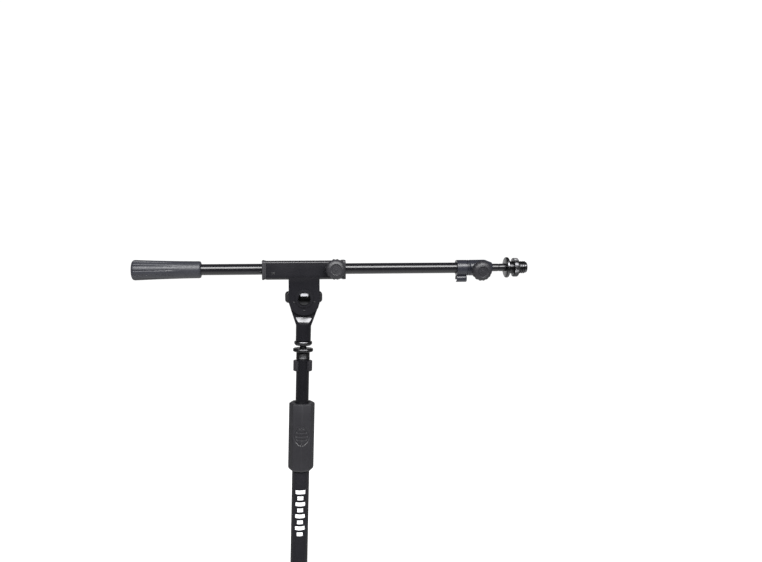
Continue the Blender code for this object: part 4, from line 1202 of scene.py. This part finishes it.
class STAND_OT_hub(bpy.types.Operator):
    """Make the tripod's hub with its three pairs of ears, and the leg rivets"""
    bl_idname = "stand.hub"
    bl_label = "Tripod hub"

    def execute(self, context):
        radius, bore = context.scene.stand_sizes.hub_radius, POLE_BORE
        body = ([(bore, HUB_BOTTOM)] + near(radius, HUB_BOTTOM, (-1, 0), (0, 1))
                + near(radius, HUB_TOP, (0, -8), (-1.4, -6), (-1.4, -1.2), (-2.6, 0))
                + [(bore, HUB_TOP), (bore, HUB_BOTTOM)])
        obj = turned("three_eared_hub", body)
        ear = [(0.0145, HUB_BOTTOM + 0.002)]
        ear += arc((LEG_REACH, LEG_HEIGHT), 0.0095, -pi / 2, pi / 2, 24)
        ear += [(0.0145, HUB_TOP - 0.0085)]
        inner, outer = 0.0065, 0.0110
        pattern = slab("hub_ear", [Vector((x, inner, z)) for x, z in ear], Y * (outer - inner))
        for number, turn in enumerate(LEG_TURNS):
            for side in (0, 1):
                across = Matrix.Translation(Y * -side * (inner + outer))
                move = Matrix.Rotation(turn, 4, "Z") @ across
                combined(obj, "UNION", copied(pattern, f"ear_{number}_{side}", move))
            hole = pin("rivet_hole", SCREW_HOLE, -0.02, 0.02, LEG_PIVOT, Y, X, 32)
            combined(obj, "DIFFERENCE", moved(hole, Matrix.Rotation(turn, 4, "Z")))
        bpy.data.objects.remove(pattern)
        boss = pin("hub_boss", 0.0080, radius - 0.002, radius + 0.0045, Z * LEG_HEIGHT, X, Y, 64)
        combined(obj, "UNION", boss)
        hole = pin("hub_screw_hole", SCREW_HOLE, 0.008, 0.030, Z * LEG_HEIGHT, X, Y, 48)
        combined(obj, "DIFFERENCE", hole)
        rounded(obj, 0.0006, 2)
        placed(obj, "base", "satin_black", "saddle powder coat", "tripod_hub")
        self.rivets()
        return {"FINISHED"}

    @staticmethod
    def rivets():
        dome = arc((0, 0.0090), 0.0056, 0.42, pi / 2, 10)
        half = near(0, 0, (3, 0), (3, 11.3), (4.9, 11.3)) + dome[:-1] + [(0, dome[-1][1])]
        half = [(radius, min(along, 0.0135)) for radius, along in half]
        profile = [(radius, -along) for radius, along in reversed(half)] + half[1:]
        first = turned("rivet", profile, LEG_PIVOT, Y, X, 48)
        for number, turn in enumerate(LEG_TURNS, 1):
            obj = copied(first, f"domed_leg_rivet_{number}", Matrix.Rotation(turn, 4, "Z"))
            placed(obj, "base", "zinc", "bright zinc", f"leg_rivet_{number}")
        bpy.data.objects.remove(first)


class STAND_OT_legs(bpy.types.Operator):
    """Make the three legs: knuckle, tube and ribbed rubber foot"""
    bl_idname = "stand.legs"
    bl_label = "Legs"

    def execute(self, context):
        radius, bore = context.scene.stand_sizes.leg_radius, 0.0065
        down = Vector((cos(LEG_SLOPE), 0, -sin(LEG_SLOPE)))
        side = Vector((sin(LEG_SLOPE), 0, cos(LEG_SLOPE)))
        along_leg = {"origin": LEG_PIVOT, "axis": down, "start": side}
        patterns = {
            "knuckle": (self.knuckle(down, side, bore), "nylon", "nylon"),
            "tube": (tube("leg_tube_pattern", radius, bore, 0.0193, LEG_LENGTH - 0.0060,
                          **along_leg), "gloss_black", "tube lacquer"),
            "foot": (self.foot(along_leg, radius), "foot_rubber", "foot rubber"),
        }
        names = {"knuckle": "moulded_leg_knuckle", "tube": "lacquered_leg_tube",
                 "foot": "ribbed_leg_foot"}
        for kind, (pattern, slot, finish) in patterns.items():
            for number, turn in enumerate(LEG_TURNS, 1):
                obj = copied(pattern, f"{names[kind]}_{number}", Matrix.Rotation(turn, 4, "Z"))
                placed(obj, f"leg_{number}", slot, finish, f"leg_{kind}_{number}")
            bpy.data.objects.remove(pattern)
        return {"FINISHED"}

    @staticmethod
    def knuckle(down, side, bore):
        half = 0.0062
        eye = ([(0.0190, -0.0078), (0.0190, 0.0078)]
               + arc((0, 0), 0.0082, pi / 2 - 0.1, 3 * pi / 2 + 0.1, 24))
        points = [LEG_PIVOT + down * x + side * z - Y * half for x, z in eye]
        obj = slab("leg_knuckle_pattern", points, Y * 2 * half)
        spigot = turned("knuckle_spigot", [(0, 0.017)]
                        + near(bore, 0, (-0.3, 17), (-0.3, 39.5), (-0.8, 40)) + [(0, 0.040)],
                        LEG_PIVOT, down, side, 48)
        combined(obj, "UNION", spigot)
        hole = pin("knuckle_hole", SCREW_HOLE, -0.02, 0.02, LEG_PIVOT, Y, X, 32)
        combined(obj, "DIFFERENCE", hole)
        return rounded(obj, 0.0005, 2)

    @staticmethod
    def foot(along_leg, radius):
        top = LEG_LENGTH - 0.030
        skin = FOOT_RADIUS - 0.0010
        profile = ([(radius + 0.0003, LEG_LENGTH - 0.0057)]
                   + near(radius, top, (0.3, 0.4), (0.8, 0))
                   + [(skin - 0.0006, top), (skin, top + 0.0006)])
        for rib in range(4):
            low = top + 0.0035 + rib * 0.0034
            profile += near(skin, low, (0.1, 0), (-0.5, 0.6), (-0.5, 1.2), (0.2, 1.8))
        nose = arc((LEG_LENGTH, 0), FOOT_RADIUS, pi / 2, 0, 14)
        profile += [(across, far) for far, across in nose[:-1]] + [(0, LEG_LENGTH + FOOT_RADIUS)]
        profile = [(0, LEG_LENGTH - 0.0057)] + profile
        obj = turned("leg_foot_pattern", profile, **along_leg)
        bpy.ops.object.mode_set(mode="EDIT")
        bpy.ops.mesh.select_all(action="SELECT")
        bpy.ops.mesh.bisect(plane_co=(0, 0, 0), plane_no=(0, 0, 1), use_fill=True,
                            clear_inner=True)
        return closed(obj)


class STAND_OT_kept_pieces(bpy.types.Operator):
    """Give the working pieces that stay inside the stand their own materials"""
    bl_idname = "stand.kept_pieces"
    bl_label = "Inner pieces"

    def execute(self, context):
        kept = {"bright zinc": ("counterweight_core", "boom_screw", "handle_nut", "rod_screw",
                                "hub_screw"),
                "nylon": ("boom_shoe", "rod_shoe", "rod_bush", "pole_bush", "friction_disc_front",
                          "friction_disc_rear", "clutch_body", "clutch_collet")}
        for finish, nodes in kept.items():
            for name in nodes:
                for slot in frame["nodes"][name].material_slots:
                    slot.material = finish_of(finish)
        return {"FINISHED"}


# Stage

def studio_world():
    """Soft studio surroundings: dim all round, lit from below and by a band of backdrop."""
    world = bpy.data.worlds.new("studio")
    world.use_nodes = True
    bpy.context.scene.world = world
    world.node_tree.nodes.clear()
    sky = Nodes(world.node_tree)
    spot = sky.node("ShaderNodeTexCoord", output="Generated")
    _, y, z = [sky.node("ShaderNodeSeparateXYZ", None, {0: spot}, axis) for axis in range(3)]
    around = (0.25 + 0.75 * sky.spread(y, -0.6, 0.6)) * (0.22 - 0.17 * sky.spread(z, -0.3, 0.3))
    below = sky.spread(z, -0.40, -0.90)
    backdrop = sky.spread(y, 0.80, 0.93) * sky.spread(abs(z), 0.30, 0.12)
    white = (1.0, 1.0, 1.0, 1.0)
    lit = sky.node("ShaderNodeBackground", None,
                   {"Color": white, "Strength": around + below + backdrop * 0.9})
    seen = sky.node("ShaderNodeBackground", None, {"Color": white, "Strength": 1.05})
    direct = sky.node("ShaderNodeLightPath", output="Is Camera Ray")
    mixed = sky.node("ShaderNodeMixShader", None, {0: direct, 1: lit, 2: seen})
    sky.node("ShaderNodeOutputWorld", None, {"Surface": mixed}, None)


def softbox(name, place, target, wide, high, watts):
    """A rectangular area light that faces its target, kept level."""
    light = bpy.data.lights.new(name, "AREA")
    light.shape, light.size, light.size_y, light.energy = "RECTANGLE", wide, high, watts
    obj = bpy.data.objects.new(name, light)
    bpy.context.scene.collection.objects.link(obj)
    obj.location = place
    obj.rotation_euler = (Vector(target) - Vector(place)).to_track_quat("-Z", "Y").to_euler()
    return obj


class STAND_OT_stage(bpy.types.Operator):
    """Set out the pale floor, the studio lights and the camera"""
    bl_idname = "stand.stage"
    bl_label = "Stage"

    def execute(self, context):
        clear_selection()
        bpy.ops.mesh.primitive_plane_add(size=14, location=(0, 0, -0.0002))
        floor = opened("studio_floor")
        bpy.ops.mesh.subdivide(number_cuts=6)
        closed(floor)
        finish = Finish("floor paper", Roughness=0.9, Specular_IOR_Level=0.1)
        tone = finish.noise(3.0, 2.0)
        # The floor glows: painted light from its emission, 0.58 near the stand rising to 1.05
        # further out, so the far floor reads white.
        finish.shader.inputs["Emission Strength"].default_value = 1.0
        x, y, _ = finish.along
        far = finish.spread(x * x + y * y, 0.3, 3.5)
        coat(floor, finish.set(
            Base_Color=finish.blend(tone, (0.80, 0.80, 0.80, 1), (0.84, 0.84, 0.84, 1)),
            Emission_Color=finish.blend(far, (0.58, 0.58, 0.58, 1), (1.05, 1.05, 1.05, 1))))
        floor.visible_glossy = False
        studio_world()
        head = AXIS + Vector((0.05, 0, 0))
        softbox("key softbox", head + Vector((0.0, -1.22, 0.98)), head, 2.4, 0.8, 84)
        fill = softbox("overhead fill", (0, 0.6, 3.0), (0, 0, 0), 2.5, 2.5, 12)
        fill.visible_glossy = False
        self.camera(context)
        context.scene.view_settings.view_transform = "Standard"
        return {"FINISHED"}

    @staticmethod
    def camera(context):
        yaw, pitch, roll = CAMERA_YAW, CAMERA_PITCH, CAMERA_ROLL
        forward = Vector((sin(yaw) * cos(pitch), cos(yaw) * cos(pitch), -sin(pitch)))
        level = Vector((cos(yaw), -sin(yaw), 0))
        above = level.cross(forward)
        right = level * cos(roll) + above * sin(roll)
        up = above * cos(roll) - level * sin(roll)
        data = bpy.data.cameras.new("camera")
        data.sensor_width, data.lens = CAMERA_SENSOR, CAMERA_LENS
        data.clip_start, data.clip_end = 0.01, 50
        camera = bpy.data.objects.new("camera", data)
        context.scene.collection.objects.link(camera)
        turn = Matrix((right, up, -forward)).transposed().to_4x4()
        camera.matrix_world = Matrix.Translation(CAMERA_PLACE) @ turn
        context.scene.camera = camera


OPERATORS = (
    STAND_OT_stage, STAND_OT_counterweight, STAND_OT_boom_tubes, STAND_OT_saddle,
    STAND_OT_end_caps, STAND_OT_knobs, STAND_OT_tilt_hardware, STAND_OT_clips,
    STAND_OT_rod_clutch, STAND_OT_rod_end, STAND_OT_yoke, STAND_OT_pole_top,
    STAND_OT_pole_tubes, STAND_OT_grip, STAND_OT_hub, STAND_OT_legs, STAND_OT_kept_pieces,
)


class VIEW3D_PT_stand(bpy.types.Panel):
    """Lists the stand's sizes, colours and pieces"""
    bl_label = "Boom stand"
    bl_space_type = "VIEW_3D"
    bl_region_type = "UI"
    bl_category = "Stand"

    def draw(self, context):
        layout = self.layout
        for group in (context.scene.stand_sizes, context.scene.stand_colours):
            box = layout.box()
            for name in group.__annotations__:
                box.prop(group, name)
        column = layout.column(align=True)
        for operator in OPERATORS:
            column.operator(operator.bl_idname)


CLASSES = (StandSizes, StandColours, *OPERATORS, VIEW3D_PT_stand)


def register():
    for cls in CLASSES:
        bpy.utils.register_class(cls)
    bpy.types.Scene.stand_sizes = bpy.props.PointerProperty(type=StandSizes)
    bpy.types.Scene.stand_colours = bpy.props.PointerProperty(type=StandColours)


def unregister():
    del bpy.types.Scene.stand_colours
    del bpy.types.Scene.stand_sizes
    for cls in reversed(CLASSES):
        bpy.utils.unregister_class(cls)


def main():
    register()
    for operator in OPERATORS:
        group, name = operator.bl_idname.split(".")
        getattr(getattr(bpy.ops, group), name)()


if __name__ == "__main__":
    main()
